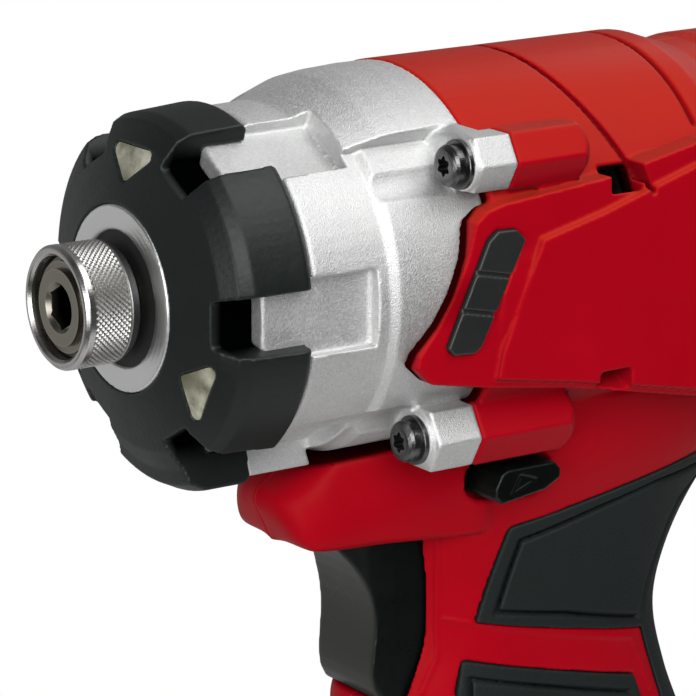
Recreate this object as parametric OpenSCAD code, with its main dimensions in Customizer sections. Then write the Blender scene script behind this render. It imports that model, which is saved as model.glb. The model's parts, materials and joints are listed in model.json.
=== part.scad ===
// Cordless impact driver: clamshell housing, cast hammer case, lobed nose bumper, impact drive, slide-on pack.
// Lengths along the tool run back from the front of the chuck sleeve, heights up from the spindle axis.

/* [Chuck] */
// Outer radius of the chuck sleeve
sleeve_r = 10; // [9.5:0.1:11]
// Length of the chuck sleeve
sleeve_length = 10.4; // [10:0.1:12]
// Wall of the sleeve round its spring
sleeve_wall = 1.7; // [1.2:0.1:2]
// How far the sleeve pulls forward
sleeve_travel = 3; // [2:0.5:3.5]
// Length of the shoulder that holds the locking balls in
sleeve_shoulder = 3; // [2.6:0.1:3.4]
// Width across the flats of the bit shank
bit_flats = 6.35; // [6:0.05:7]
// Depth of the hex socket
socket_depth = 21; // [18:1:24]
// Radius of the anvil inside the sleeve
anvil_r = 6.2; // [5.8:0.1:6.6]
// Set-back of the anvil tip from the sleeve front
tip_setback = 0.6; // [0.3:0.1:1]
// Radius of a locking ball
lock_ball_r = 1.6; // [1.4:0.1:1.8]
// Wire radius of the sleeve spring
sleeve_wire_r = 0.4; // [0.3:0.05:0.5]

/* [Impact mechanism] */
// Radius of the anvil journal
journal_r = 7.6; // [7.2:0.1:8]
// Wall of the nose bush
bush_wall = 2.4; // [2:0.1:3]
// Length of the nose bush
bush_length = 16; // [14:0.5:18]
// Thickness of the thrust washer
thrust_t = 0.8; // [0.5:0.1:1.2]
// Thickness of the anvil ears
ear_t = 8; // [7:0.5:9]
// Width of the anvil ears and hammer lugs
ear_w = 10; // [8:0.5:11]
// Reach of the anvil ears from the axis
ear_reach = 19.5; // [18:0.5:21]
// Outer radius of the hammer
hammer_r = 22.6; // [22:0.1:23]
// Length of the hammer body
hammer_length = 17; // [16:0.5:19]
// Distance the hammer backs off
hammer_travel = 6.5; // [5:0.5:7]
// Radius of the cam shaft
cam_r = 8; // [7.5:0.1:8.5]
// Radius of a cam ball
cam_ball_r = 2.4; // [2:0.1:2.6]
// Wire radius of the hammer spring
hammer_wire_r = 1.4; // [1.2:0.1:1.5]

/* [Gears] */
// Gear module
gear_module = 0.9; // [0.86:0.01:0.92]
// Face width of the planet gears
gear_face = 9; // [8:0.5:10]
// Radius of a planet pin
pin_r = 2.5; // [2:0.1:3]
// Thickness of the front carrier disc
carrier_t = 3.4; // [3:0.1:4]
// Thickness of the gear plate
plate_t = 4; // [3.5:0.5:5]
// Rim of the ring gear outside its tooth roots
ring_rim = 2.4; // [1.8:0.1:2.6]

/* [Motor] */
// Outer radius of the motor can
can_r = 21; // [20:0.5:22]
// Wall of the housing behind the motor
tail_wall = 7; // [5:0.5:8]
// Wall of the motor can
can_wall = 1.6; // [1.2:0.1:2]
// Thickness of the magnets
magnet_t = 2.4; // [2:0.1:3]
// Radius of the motor shaft
shaft_r = 2.5; // [2:0.1:3]
// Radius of the commutator
commutator_r = 6.5; // [6:0.1:7]
// Radius of the cooling fan
fan_r = 20; // [18:0.5:21]
// Width of the cooling fan
fan_w = 5; // [4:0.5:6]
// Outer radius of the front bearing
front_bearing_r = 8; // [7.5:0.5:9]
// Outer radius of the rear bearing
rear_bearing_r = 6; // [5.5:0.5:7]

/* [Hammer case] */
// Outer radius of the nose ring
nose_r = 15.1; // [14.5:0.1:16]
// Radius of the case under the bumper lobes
case_seat_r = 26.6; // [26.2:0.1:27]
// Radius of the case behind the bumper
case_front_r = 28.5; // [28:0.1:29]
// Wall of the case round the hammer
case_gap = 1.2; // [0.8:0.1:1.4]
// Width of the flat channels
channel_w = 12.6; // [11:0.2:14]
// Distance of the channel floors from the axis
channel_floor = 26; // [25.6:0.1:26.4]
// Where the channels end
channel_end = 42; // [40:0.5:44]
// Where the case steps up to its rear part
case_step = 44.6; // [44:0.2:46]
// Half angle of the raised crown on top
crown_half = 38; // [34:1:44]

/* [Nose bumper] */
// Radius of the bumper lobes
lobe_r = 29.7; // [29:0.1:30.5]
// Radius of the outer edge of the front cone
cone_r = 25; // [24.6:0.1:26]
// Slope of the front cone, length per radius
cone_slope = 0.35; // [0.25:0.01:0.4]
// Where the lobes end
lobe_end = 29.4; // [28:0.2:30]
// Width of the notches at the top of the lobes
notch_w = 10; // [9:0.2:12]
// Width of the notches at their floors
notch_floor_w = 7.4; // [6.4:0.2:8.8]
// Distance of the notch floors from the axis
notch_floor = 23.2; // [23:0.1:24]
// Radius of the bottom lobe, which carries the lamp leads
bottom_lobe_r = 32.4; // [31.5:0.1:33]
// Half width of the bottom lobe
bottom_lobe_half = 11; // [9:0.5:12]
// Half width of a lamp lens at its outer edge
lens_half = 5.4; // [4.5:0.1:6]
// Distance of the lens tip from the axis
lens_inner = 18.8; // [18.2:0.1:19.5]
// Distance of the lens outer edge from the axis
lens_outer = 24.3; // [23.5:0.1:24.6]
// Corner radius of a lens
lens_corner = 1.1; // [0.8:0.1:1.4]

/* [Housing] */
// Radius of the motor barrel
body_r = 33; // [32.8:0.1:34]
// Wall of the barrel
body_wall = 3.2; // [3:0.1:3.6]
// Length from the chuck sleeve front to the back of the body
head_length = 152; // [151:1:160]
// Where the barrel starts behind the hammer case
barrel_front = 63; // [62:0.5:65]
// Radius of the narrower rear part of the barrel
tail_r = 31.2; // [30.5:0.1:32]
// How far the raised side panel stands out from the barrel
panel_proud = 0.4; // [0:0.1:1]
// Step between the side panel and its surround
panel_step = 1.2; // [0.8:0.1:1.6]
// Width of the panel grooves in the barrel
groove_w = 1; // [0.8:0.1:1.6]
// Depth of the panel grooves in the barrel
groove_d = 1.1; // [0.5:0.1:1.4]
// Radius of the lower case bosses
lower_boss_r = 6; // [5.6:0.1:6.4]
// Sideways place of the upper case screws
upper_screw_y = 27.4; // [27:0.1:28]
// Height of the upper case screws
upper_screw_z = 21; // [20.5:0.1:21.5]
// Front of the upper case bosses
upper_boss_x = 59; // [58:0.5:60]
// Sideways place of the lower case screws
lower_screw_y = 24; // [23.5:0.1:24.5]
// Height of the lower case screws
lower_screw_z = -24; // [-24.5:0.1:-23.5]
// Front of the lower case bosses
lower_boss_x = 53; // [52:0.5:54]
// Length of the case bosses
boss_length = 7; // [6:0.5:8]
// Radius of the upper case bosses
upper_boss_r = 5.4; // [5.2:0.1:6]

/* [Handle] */
// Drop from the spindle axis to the top of the foot
grip_drop = 130; // [124:1:140]
// Thickness of the grip rubber
rubber_t = 1.8; // [1.2:0.1:2]
// How far the grip rubber stands proud
rubber_proud = 0.4; // [0.2:0.1:0.6]
// Height of the foot
foot_height = 16; // [15:0.5:18]
// Half width of the foot
foot_half = 35; // [33:0.5:36]

/* [Trigger and selector] */
// Front of the trigger at its scoop
trigger_front = 55.4; // [54:0.2:56]
// Half width of the trigger
trigger_half = 9.6; // [9:0.1:10]
// Height of the top of the trigger
trigger_top = -45.4; // [-46:0.2:-45]
// Height of the trigger face
trigger_height = 29; // [27:0.5:31]
// How far the trigger pulls in
trigger_travel = 6.5; // [5:0.5:7]
// Middle of the direction selector along the tool
selector_x = 74; // [73:0.5:75]
// How far the direction selector's axis lies below the barrel
selector_drop = 1.6; // [1.4:0.1:2.5]
// Length of the selector button along the tool
selector_l = 13; // [11:0.5:14]
// Height of the selector button
selector_h = 5.6; // [5:0.1:6]
// Travel of the selector from side to side
selector_travel = 5; // [4:0.5:6]
// How far the selector stands out on the left
selector_out = 2.8; // [2.2:0.1:3.4]

/* [Battery pack] */
// Distance from the chuck sleeve front back to the middle of the pack
nose_reach = 100; // [98:1:102]
// Length of the pack
pack_length = 114; // [113:1:118]
// Half width of the pack
pack_half = 37; // [36:0.5:39]
// Height of the pack body
pack_height = 42; // [40:1:50]
// Wall of the pack cases
pack_wall = 2.2; // [1.8:0.1:2.4]
// Height of the split between tub and top
pack_split = 27; // [25:0.5:28]
// Radius of a cell
cell_r = 9.05; // [8.9:0.05:9.2]
// Room between the cell ends and the pack wall
cell_end_gap = 2.3; // [2:0.1:3]
// Half width of the rail tongues
rail_half = 26.6; // [25:0.2:27]
// Half width of the rail walls
rail_neck = 22; // [20:0.5:22.5]
// Height of the rails over the pack deck
rail_height = 8; // [7.5:0.1:8.5]
// Thickness of the rail tongues
rail_t = 2.8; // [2.4:0.1:3.2]
// Press of the release button
release_travel = 4.5; // [4:0.1:5]

/* [Fasteners and clearances] */
// Head radius of a case screw
case_head_r = 3.4; // [3.2:0.05:3.6]
// Shank radius of a case screw
case_shank_r = 2; // [1.8:0.1:2.2]
// Head radius of a housing screw
screw_head_r = 3; // [2.6:0.1:3.2]
// Shank radius of a housing screw
screw_shank_r = 1.4; // [1.2:0.1:1.5]
// Thread core radius of the belt clip nuts
clip_thread_r = 1.65; // [1.5:0.05:1.8]
// Depth of the belt clip nuts
clip_depth = 6.5; // [5:0.5:7]
// Running clearance between turning pieces
run_gap = 0.05; // [0.03:0.01:0.08]
// Clearance between sliding pieces
slide_gap = 0.3; // [0.25:0.05:0.4]
// Clearance between fixed pieces that nest
seat_gap = 0.1; // [0.05:0.05:0.15]
// Sideways play between meshing gear teeth
tooth_play = 0.06; // [0.04:0.01:0.1]

/* [Hidden] */

// Facets of round pieces and of hulled or lofted ones
round_fn = 96;
small_fn = 32;
far = 200;

// Heights of the pack, the foot and the spindle above the standing surface
deck_gap = 0.4;
spindle_height = pack_height + deck_gap + foot_height + grip_drop;
foot_top = -grip_drop;
foot_bottom = foot_top - foot_height;
deck_z = foot_bottom - deck_gap;
base_z = -spindle_height;
pack_front = nose_reach - pack_length / 2;
pack_rear = nose_reach + pack_length / 2;
foot_front = pack_front + 6;
foot_rear = pack_rear - 3;
corner_r = 9;

// Places along the spindle, from the chuck sleeve back to the motor
nose_gap = 1;
nose_face = sleeve_length + nose_gap;
seal_depth = 3;
bush_front = nose_face + seal_depth;
bush_rear = bush_front + bush_length;
ear_front = bush_rear + thrust_t + seat_gap;
ear_rear = ear_front + ear_t;
hammer_front = ear_rear + 1;
hammer_rear = hammer_front + hammer_length;
washer_t = 1;
stop_gap = 1.2;
carrier_front = hammer_rear + hammer_travel + stop_gap + washer_t;
planet_front = carrier_front + carrier_t + 0.4;
planet_rear = planet_front + gear_face;
ring_front = planet_front - 1.2;
rear_disc_x = planet_rear + 0.4;
rear_disc_t = 2.2;
case_rear = rear_disc_x + rear_disc_t + 0.6;
plate_rear = case_rear + plate_t;
fan_front = plate_rear + 1;
can_front = fan_front + fan_w + 1;
cap_t = 4;
motor_rear = head_length - tail_wall;
can_rear = motor_rear - cap_t;
can_length = can_rear - can_front;
tail_step = can_front + 0.4 * can_length;

// Radii of the case bores and of the housing
bush_r = journal_r + run_gap + bush_wall;
seal_r = bush_r + 1;
case_bore_r = hammer_r + case_gap;
cavity_r = body_r - body_wall;
panel_half = body_r + panel_proud;
selector_z = -body_r - selector_drop;
case_rear_r = cavity_r - seat_gap;
tail_cavity_r = can_r + 4;
flange_x = nose_face + 10.4;
shoulder_x = sleeve_length - sleeve_shoulder;

// Gear teeth: a sun, three planets and a fixed ring
sun_teeth = 12;
planet_teeth = 18;
ring_teeth = sun_teeth + 2 * planet_teeth;
planet_count = 3;
pressure_angle = 25;
gear_centre = gear_module * (sun_teeth + planet_teeth) / 2;
ring_root_r = gear_module * (ring_teeth / 2 + 1.25);
ring_r = ring_root_r + ring_rim;
flank_steps = 5;

function involute(base, r) = let (a = acos(min(1, base / r))) tan(a) * 180 / PI - a;
function tooth_half(teeth, r, play) =
    let (pitch = gear_module * teeth / 2, base = pitch * cos(pressure_angle))
    (PI * gear_module / 2 + play) / 2 / pitch * 180 / PI
        + involute(base, pitch) - involute(base, max(base, r));
function gear_outline(teeth, root, tip, play) =
    let (start = max(root, gear_module * teeth / 2 * cos(pressure_angle)))
    [for (i = [0 : teeth - 1])
        let (flank = [for (s = [0 : flank_steps]) start + (tip - start) * s / flank_steps])
        let (low = [for (r = flank) [r, -tooth_half(teeth, r, play)]])
        let (high = [for (s = [0 : flank_steps]) [flank[flank_steps - s], -low[flank_steps - s][1]]])
        let (feet = tooth_half(teeth, start, play))
        let (tooth = root < start ? concat([[root, -feet]], low, high, [[root, feet]]) : concat(low, high))
        for (p = tooth) p[0] * [cos(p[1] + 360 * i / teeth), sin(p[1] + 360 * i / teeth)]];
function planet_place(k) = 90 + 360 * k / planet_count;
function planet_turn(k) = planet_place(k) + 180 + (180 + sun_teeth * planet_place(k)) / planet_teeth;

// Handle sections: drop below the spindle, front edge, back edge and half width
grip_sections = [
    [22, 64, 141, 25.5],
    [34, 61, 131, 22.8],
    [45, 61, 122.5, 19.2],
    [56, 61.5, 117, 17.2],
    [66, 60.5, 115, 16.6],
    [78, 55.5, 118, 16.8],
    [92, 60.5, 123.5, 17.2],
    [grip_drop - 18, 68.5, 128.5, 17.4],
    [grip_drop, 71, 133, 19]
];
grip_rings = 18;
grip_points = 28;
grip_power = 2.7;

function station(d, i = 0) =
    i >= len(grip_sections) - 2 || d < grip_sections[i + 1][0] ? i : station(d, i + 1);
function lean(i, k) =
    let (a = grip_sections[max(0, i - 1)], b = grip_sections[min(len(grip_sections) - 1, i + 1)])
    (b[k] - a[k]) / (b[0] - a[0]);
function grip_value(d, k) =
    let (i = station(d), a = grip_sections[i], b = grip_sections[i + 1], h = b[0] - a[0], t = (d - a[0]) / h)
    (2 * t * t * t - 3 * t * t + 1) * a[k] + (t * t * t - 2 * t * t + t) * h * lean(i, k)
    + (3 * t * t - 2 * t * t * t) * b[k] + (t * t * t - t * t) * h * lean(i + 1, k);
function bulge(v) = sign(v) * pow(abs(v), 2 / grip_power);
function grip_ring(d, inset) =
    let (front = grip_value(d, 1) + inset, back = grip_value(d, 2) - inset, half = grip_value(d, 3) - inset)
    [for (j = [0 : grip_points - 1])
        let (a = 360 * j / grip_points)
        [(front + back) / 2 + (back - front) / 2 * bulge(cos(a)), half * bulge(sin(a)), -d]];
function tube_faces(rings, n) = concat(
    [[for (j = [0 : n - 1]) n - 1 - j]],
    [for (i = [0 : rings - 2]) for (j = [0 : n - 1])
        [i * n + j, i * n + (j + 1) % n, (i + 1) * n + (j + 1) % n]],
    [for (i = [0 : rings - 2]) for (j = [0 : n - 1])
        [i * n + j, (i + 1) * n + (j + 1) % n, (i + 1) * n + j]],
    [[for (j = [0 : n - 1]) (rings - 1) * n + j]]);

// Regions of the grip rubber seen from the side
strap_front = 107;
upper_grip_outline = [
    [75.8, -44.3], [115, -36.5], [125, -35], [160, -35], [160, foot_top + 13], [119, foot_top + 13],
    [112, -82], [strap_front, -68.6], [71.3, -61]
];
lower_grip_outline = [
    [69, -67.4], [104.5, -76.4], [108, -85], [115, foot_top + 13], [81, foot_top + 13], [72, -96], [66.6, -78]
];

// Side panel outline, raised panel and pad, seen from the left
panel_rear = head_length - 12;
panel_outline = [
    [63.6, 14.7], [60.4, 13.9], [58.2, 12.2], [56.7, 6.8], [53.8, 0.7], [50.9, -3.8], [47.5, -7.8],
    [46.9, -10], [50, -12.9], [62, -15.2], [77.2, -17.4], [103.2, -22.7],
    [panel_rear - 12, -26], [panel_rear, -14], [panel_rear, 10], [panel_rear - 10, 20], [104, 20.5], [84, 16.5]
];
raised_outline = [
    [70.7, 8.3], [63, -9], [62, -13.6], [77.2, -16.2], [103.2, -21.4], [panel_rear - 14, -24.2],
    [panel_rear - 4, -13], [panel_rear - 4, 9], [panel_rear - 12, 18], [102.1, 16.8], [82.7, 11.1]
];
pad_outline = [[60.1, 9.2], [61.9, 10.7], [65.6, 10.5], [67.4, 8.7], [58.9, -7.8], [57.6, -8.7], [53.6, -8.5],
    [52.4, -7.2]];
pad_lean = [0.48, 0.87];
pad_proud = 0.8;
pad_pocket = 1.6;

// Housing screws: place along the tool, height, and sideways place of the seat under the head
rear_screw_r = 25;
rear_screw_x = can_rear - 4;
foot_screw_z = foot_top - (foot_height - rail_height) / 2 + 0.5;
screw_spots = [
    [rear_screw_x, rear_screw_r, 9.5], [rear_screw_x, -rear_screw_r, 9.5], [98, -33, 14], [63.5, -86, 9],
    [116.8, -92, 9], [70, foot_screw_z, 14], [foot_rear - 11, foot_screw_z, 22]
];
screw_bite = 9;
screw_head_t = 2.2;

// Case screws: sideways place, height, boss front, boss end and boss radius on the left side
case_screw_spots = [
    [upper_screw_y, upper_screw_z, upper_boss_x, upper_boss_x + boss_length, upper_boss_r],
    [lower_screw_y, lower_screw_z, lower_boss_x, lower_boss_x + boss_length + 1.5, lower_boss_r]
];
boss_end = 81;
boss_bevel = 2;
boss_play = 0.2;
case_head_t = 3.2;
case_washer_t = 0.8;
case_washer_rim = 0.65;
boss_rim_t = 0.8;
case_screw_bite = 12;
crown_r = body_r - 0.2;

module tool() { translate([-nose_reach, 0, spindle_height]) children(); }
module along(x) { translate([x, 0, 0]) rotate([0, 90, 0]) children(); }
module at_clock(a) { rotate([a, 0, 0]) children(); }
module rod(x0, x1, r) { along(x0) cylinder(h = x1 - x0, r = r, $fn = round_fn); }
module tube(x0, x1, r, bore) {
    difference() {
        rod(x0, x1, r);
        rod(x0 - 1, x1 + 1, bore);
    }
}
module revolve(profile) { rotate([0, 90, 0]) rotate_extrude($fn = round_fn) polygon(profile); }
module side_cut(outline, y0, y1) {
    translate([0, y1, 0]) rotate([90, 0, 0]) linear_extrude(height = y1 - y0) polygon(outline);
}
module block(x0, x1, y0, y1, z0, z1) { translate([x0, y0, z0]) cube([x1 - x0, y1 - y0, z1 - z0]); }
module both_sides() {
    children();
    mirror([0, 1, 0]) children();
}
module cross_rod(x, z, y0, y1, r) {
    translate([x, y1, z]) rotate([90, 0, 0]) cylinder(h = y1 - y0, r = r, $fn = small_fn);
}
module rounded_plate(x0, x1, half, z0, z1, r) {
    translate([0, 0, z0]) linear_extrude(height = z1 - z0) {
        translate([x0 + r, -half]) square([x1 - x0 - 2 * r, 2 * half]);
        translate([x0, r - half]) square([x1 - x0, 2 * half - 2 * r]);
        for (x = [x0 + r, x1 - r], y = [r - half, half - r]) translate([x, y]) circle(r, $fn = 48);
    }
}
module grip_loft(inset) {
    rings = [for (i = [0 : grip_rings]) grip_ring(grip_sections[0][0]
        + (grip_drop - grip_sections[0][0]) * i / grip_rings, inset)];
    polyhedron([for (r = rings) for (p = r) p], tube_faces(grip_rings + 1, grip_points));
}
module coil(mean, wire, length, turns) {
    sides = 6;
    per_turn = 14;
    steps = round(turns * per_turn);
    rise = length - 2 * wire;
    points = [for (i = [0 : steps]) for (j = [0 : sides - 1])
        let (a = 360 * i / per_turn, b = -360 * j / sides, r = mean + wire * cos(b))
        [r * cos(a), r * sin(a), wire + rise * i / steps + wire * sin(b)]];
    polyhedron(points, [for (f = tube_faces(steps + 1, sides)) [for (k = [len(f) - 1 : -1 : 0]) f[k]]]);
}

module foot_flare() {
    hull() {
        for (d = [grip_drop - 9, grip_drop - 8])
            translate([0, 0, -d]) linear_extrude(height = 0.1)
                polygon([for (p = grip_ring(d, 0)) [p[0], p[1]]]);
        rounded_plate(foot_front + 4, foot_rear - 4, foot_half - 5, foot_top - 3, foot_top - 2, corner_r);
    }
}
module chin() {
    bars = [[39.8, -37.4, 3, 5.5], [42.3, -43.1, 2.7, 10.8], [42.6, -36.8, 3.2, 9.5], [84, -40, 4.4, 19.6],
        [84, -28, 4, 22.6], [47, -32.9, 3.3, 11]];
    hull()
        for (b = bars)
            cross_rod(b[0], b[1], -b[3], b[3], b[2]);
}
module barrel() {
    taper = can_length / 7;
    revolve([[0, barrel_front], [body_r, barrel_front], [body_r, tail_step], [tail_r - 0.5, tail_step + taper],
        [tail_r - 0.5, tail_step + 1.7 * taper], [tail_r, tail_step + 2.1 * taper], [tail_r, motor_rear - 4],
        [tail_r - 2, motor_rear + 3], [tail_r - 6, head_length], [0, head_length]]);
}
module boss_hex(spot, x0, x1, grow) {
    translate([0, -spot[0], spot[1]]) along(x0) rotate(30) cylinder(h = x1 - x0, r = spot[4] + grow, $fn = 6);
}
module housing_boss(spot) {
    r = spot[4] + boss_play;
    x0 = spot[3] - 1;
    intersection() {
        boss_hex(spot, x0, boss_end, 0);
        translate([0, -spot[0], spot[1]]) revolve([[0, x0 - 1], [r, x0 - 1], [r, boss_end - boss_bevel],
            [r - boss_bevel, boss_end + 0.5], [0, boss_end + 0.5]]);
    }
}
module housing_outer() {
    barrel();
    grip_loft(0);
    chin();
    foot_flare();
    rounded_plate(foot_front, foot_rear, foot_half, foot_bottom, foot_top - 2, corner_r);
    both_sides() {
        side_cut(panel_outline, panel_step - panel_half, panel_step - body_r + 4);
        side_cut(raised_outline, -panel_half, panel_step - body_r + 4);
        for (spot = case_screw_spots) housing_boss(spot);
    }
}
module barrel_grooves() {
    tilt = 23;
    difference() {
        union() {
            translate([84, 0, body_r]) rotate([0, -tilt, 0]) block(0, groove_w, -far, far, -22, 9);
            block(107, 107 + groove_w, -far, far, 21, far);
        }
        rod(0, far, body_r - groove_d);
    }
}
module housing_cavities() {
    rib_t = 3;
    rib_1 = can_front + can_length / 10;
    rib_2 = can_rear - can_length / 6;
    rib_bore = can_r + seat_gap;
    revolve([[0, 0], [cavity_r, 0], [cavity_r, rib_1], [rib_bore, rib_1], [rib_bore, rib_1 + rib_t],
        [cavity_r, rib_1 + rib_t], [cavity_r, tail_step - can_length / 12], [tail_cavity_r, tail_step],
        [tail_cavity_r, rib_2],
        [rib_bore, rib_2], [rib_bore, motor_rear + seat_gap], [0, motor_rear + seat_gap]]);
    rod(0, lobe_end + 3, bottom_lobe_r + slide_gap);
    rod(0, keel_end + seat_gap, keel_r + seat_gap);
    trigger_room();
    block(trigger_rear - 1, switch_rear + seat_gap, -switch_foot, switch_foot, switch_bottom - seat_gap,
        trigger_top + 1.2);
    side_cut([[trigger_rear - 1, switch_bottom + 1], [switch_rear - 0.5, switch_bottom + 1],
        [113, foot_top + 2], [84, foot_top + 2]], -wire_half, wire_half);
    both_sides() side_cut(pad_outline, -far, pad_pocket - panel_half + panel_step);
    block(selector_x - selector_l / 2 - slide_gap, selector_x + selector_l / 2 + slide_gap, -far, far,
        selector_z - selector_h / 2 - slide_gap, selector_z + selector_h / 2 + slide_gap);
    both_sides() selector_pocket();
    rail_slot();
    for (side = [-1, 1]) {
        at_clock(side * 62.5) vent_slot(fan_front - 2, upper_vent_w);
        at_clock(side * 118) vent_slot(fan_front - 4.5, lower_vent_w);
    }
    for (a = [66 : 12 : 114], side = [-1, 1]) at_clock(side * a) rear_vent();
    both_sides() for (spot = case_screw_spots) {
        screw_bore(spot);
        boss_hex(spot, spot[2] - case_head_t - 2, spot[3], seat_gap);
    }
    barrel_grooves();
    grip_pockets();
}
vent_l = 6.5;
upper_vent_w = 5.4;
lower_vent_w = 3.8;
module vent_slot(x, w) { block(x, x + vent_l, -w / 2, w / 2, cavity_r - 4, far); }
module rear_vent() { block(motor_rear - 16, motor_rear - 6, -1.2, 1.2, tail_cavity_r - 2, far); }
module screw_bore(spot) {
    translate([0, -spot[0], spot[1]])
        rod(spot[2], spot[3] + case_screw_bite + 1, case_shank_r + run_gap);
}
module selector_pocket() {
    rim = 1.2;
    floor_y = 7 - grip_value(-selector_z, 3);
    r = selector_h / 2 + rim;
    x0 = selector_x - selector_l / 2 + r - rim;
    x1 = selector_x + selector_l / 2 - r + rim;
    block(x0, x1, -far, floor_y, selector_z - r, selector_z + r);
    for (x = [x0, x1]) cross_rod(x, selector_z, -far, floor_y, r);
}
module rail_slot() {
    lip_z = deck_z + rail_height - rail_t - slide_gap;
    block(0, foot_rear - 4, -rail_neck - slide_gap, rail_neck + slide_gap, foot_bottom - 1, rail_roof);
    block(0, foot_rear - 4, -rail_half - slide_gap, rail_half + slide_gap, lip_z, rail_roof);
    block(latch_x - slide_gap, latch_x + latch_t + slide_gap, -latch_half - slide_gap, latch_half + slide_gap,
        rail_roof - 1, rail_roof + latch_bite + slide_gap);
}
module grip_pockets() {
    difference() {
        union() {
            both_sides() side_cut(upper_grip_outline, -far, 0);
            both_sides() side_cut(lower_grip_outline, -far, 0);
        }
        grip_loft(rubber_t);
    }
}
module screw_holes(head_side) {
    for (s = screw_spots) {
        cross_rod(s[0], s[1], -screw_bite - 1, s[2] + 1, screw_shank_r + run_gap);
        if (head_side) cross_rod(s[0], s[1], s[2], far, screw_head_r + slide_gap);
    }
}
module clip_hole() { cross_rod(clip_x, clip_z, -far, clip_depth - foot_half, clip_nut_r); }

module left_housing() {
    color("firebrick") tool() difference() {
        intersection() {
            housing_outer();
            block(0, far, -far, 0, -far, far);
        }
        housing_cavities();
        screw_holes(false);
        clip_hole();
    }
}
module right_housing() {
    color("firebrick") tool() difference() {
        intersection() {
            housing_outer();
            block(0, far, 0, far, -far, far);
        }
        housing_cavities();
        screw_holes(true);
        mirror([0, 1, 0]) clip_hole();
    }
}
module grip_piece(outline, right) {
    color("#26262a") tool() difference() {
        intersection() {
            grip_loft(-rubber_proud);
            side_cut(outline, right ? 0 : -far, right ? far : 0);
        }
        grip_loft(rubber_t);
        if (right) screw_holes(true);
    }
}
module left_upper_grip() { grip_piece(upper_grip_outline, false); }
module right_upper_grip() { grip_piece(upper_grip_outline, true); }
module left_lower_grip() { grip_piece(lower_grip_outline, false); }
module right_lower_grip() { grip_piece(lower_grip_outline, true); }
module side_pad() {
    cut_t = 0.7;
    pad_floor = pad_pocket - panel_half + panel_step;
    color("#1d1d20") tool() difference() {
        side_cut(pad_outline, panel_step - panel_half - pad_proud, pad_floor);
        for (s = [-3.2, 3.4])
            translate([60.3 + s * pad_lean[0], panel_step - panel_half - pad_proud, 0.6 + s * pad_lean[1]])
                rotate([0, 12, 0]) cube([20, 1.2, cut_t], center = true);
    }
}
module left_side_pad() { side_pad(); }
module right_side_pad() { mirror([0, 1, 0]) side_pad(); }

module case_outer() {
    revolve([[0, nose_face], [nose_r, nose_face], [nose_r, flange_x], [case_seat_r - 0.8, flange_x],
        [case_seat_r, flange_x + 0.8], [case_seat_r, lobe_end + 0.6], [case_front_r - 0.4, lobe_end + 0.6],
        [case_front_r, lobe_end + 1.2], [case_front_r + 0.3, case_step - 0.6], [case_rear_r, case_step + 0.8],
        [case_rear_r, case_rear], [0, case_rear]]);
}
module case_crown() {
    reach = 60;
    intersection() {
        revolve([[0, 38], [case_front_r, 38], [30.3, 43], [32, 48], [crown_r - 0.3, 52], [crown_r, 58],
            [crown_r, barrel_front], [0, barrel_front]]);
        along(0) linear_extrude(height = far)
            polygon([[0, 0], [-reach, reach * tan(crown_half)], [-reach, -reach * tan(crown_half)]]);
    }
}
module case_boss(spot) {
    boss_hex(spot, spot[2], spot[3], -boss_play);
    translate([0, -spot[0], spot[1]]) rod(spot[2] - boss_rim_t, spot[2] + 1, case_head_r + 1);
}
module crown_rod(r, x0, x1) {
    translate([0, -r * sin(crown_half), r * cos(crown_half)]) rod(x0, x1, 1);
}
module boss_web(spot) {
    end = barrel_front - seat_gap;
    hull() {
        boss_hex(spot, spot[2], end, -boss_play);
        crown_rod(case_rear_r, spot[2] - 1, spot[2]);
        crown_rod(crown_r - 1.2, end - 1, end);
    }
}
module case_keel() {
    at_clock(180) intersection() {
        revolve([[case_front_r - 3, lobe_end + slide_gap], [keel_r, lobe_end + slide_gap], [keel_r, keel_end],
            [case_front_r - 3, keel_end]]);
        block(0, far, -bottom_lobe_half, bottom_lobe_half, keel_r / 2, far);
    }
}
module hammer_case() {
    color("silver") tool() difference() {
        union() {
            case_outer();
            case_crown();
            case_keel();
            both_sides() boss_web(case_screw_spots[0]);
            both_sides() for (spot = case_screw_spots) case_boss(spot);
        }
        for (a = [30 : 60 : 330]) at_clock(a)
            block(flange_x - 1, channel_end, -channel_w / 2, channel_w / 2, channel_floor, far);
        rod(0, bush_front, seal_r);
        rod(0, bush_rear + 1, bush_r);
        rod(bush_rear, ring_front, case_bore_r);
        rod(ring_front, far, ring_r);
        both_sides() for (spot = case_screw_spots)
            translate([0, -spot[0], spot[1]]) rod(0, far, case_shank_r + seat_gap);
        both_sides() for (spot = case_screw_spots)
            translate([0, -spot[0], spot[1]]) rod(0, spot[2] - boss_rim_t, case_head_r + 2.2);
    }
}
module case_screws() {
    color("#202022") tool() both_sides() for (spot = case_screw_spots)
        translate([0, -spot[0], spot[1]]) difference() {
            union() {
                rod(spot[2] - boss_rim_t - case_head_t, spot[2] - boss_rim_t - case_washer_t, case_head_r);
                rod(spot[2] - boss_rim_t - case_washer_t, spot[2] - boss_rim_t, case_head_r + case_washer_rim);
                rod(spot[2] - boss_rim_t - 0.2, spot[3] + case_screw_bite, case_shank_r);
            }
            along(spot[2] - boss_rim_t - case_head_t - 1) cylinder(h = 2.6, r = case_head_r / 2, $fn = 6);
        }
}
module housing_screws() {
    color("#303033") tool() for (s = screw_spots) difference() {
        union() {
            cross_rod(s[0], s[1], -screw_bite, s[2], screw_shank_r);
            cross_rod(s[0], s[1], s[2], s[2] + screw_head_t, screw_head_r);
        }
        translate([s[0], s[2] + screw_head_t + 0.1, s[1]]) rotate([90, 0, 0])
            cylinder(h = 1.5, r = screw_head_r / 2, $fn = 6);
    }
}

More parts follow.
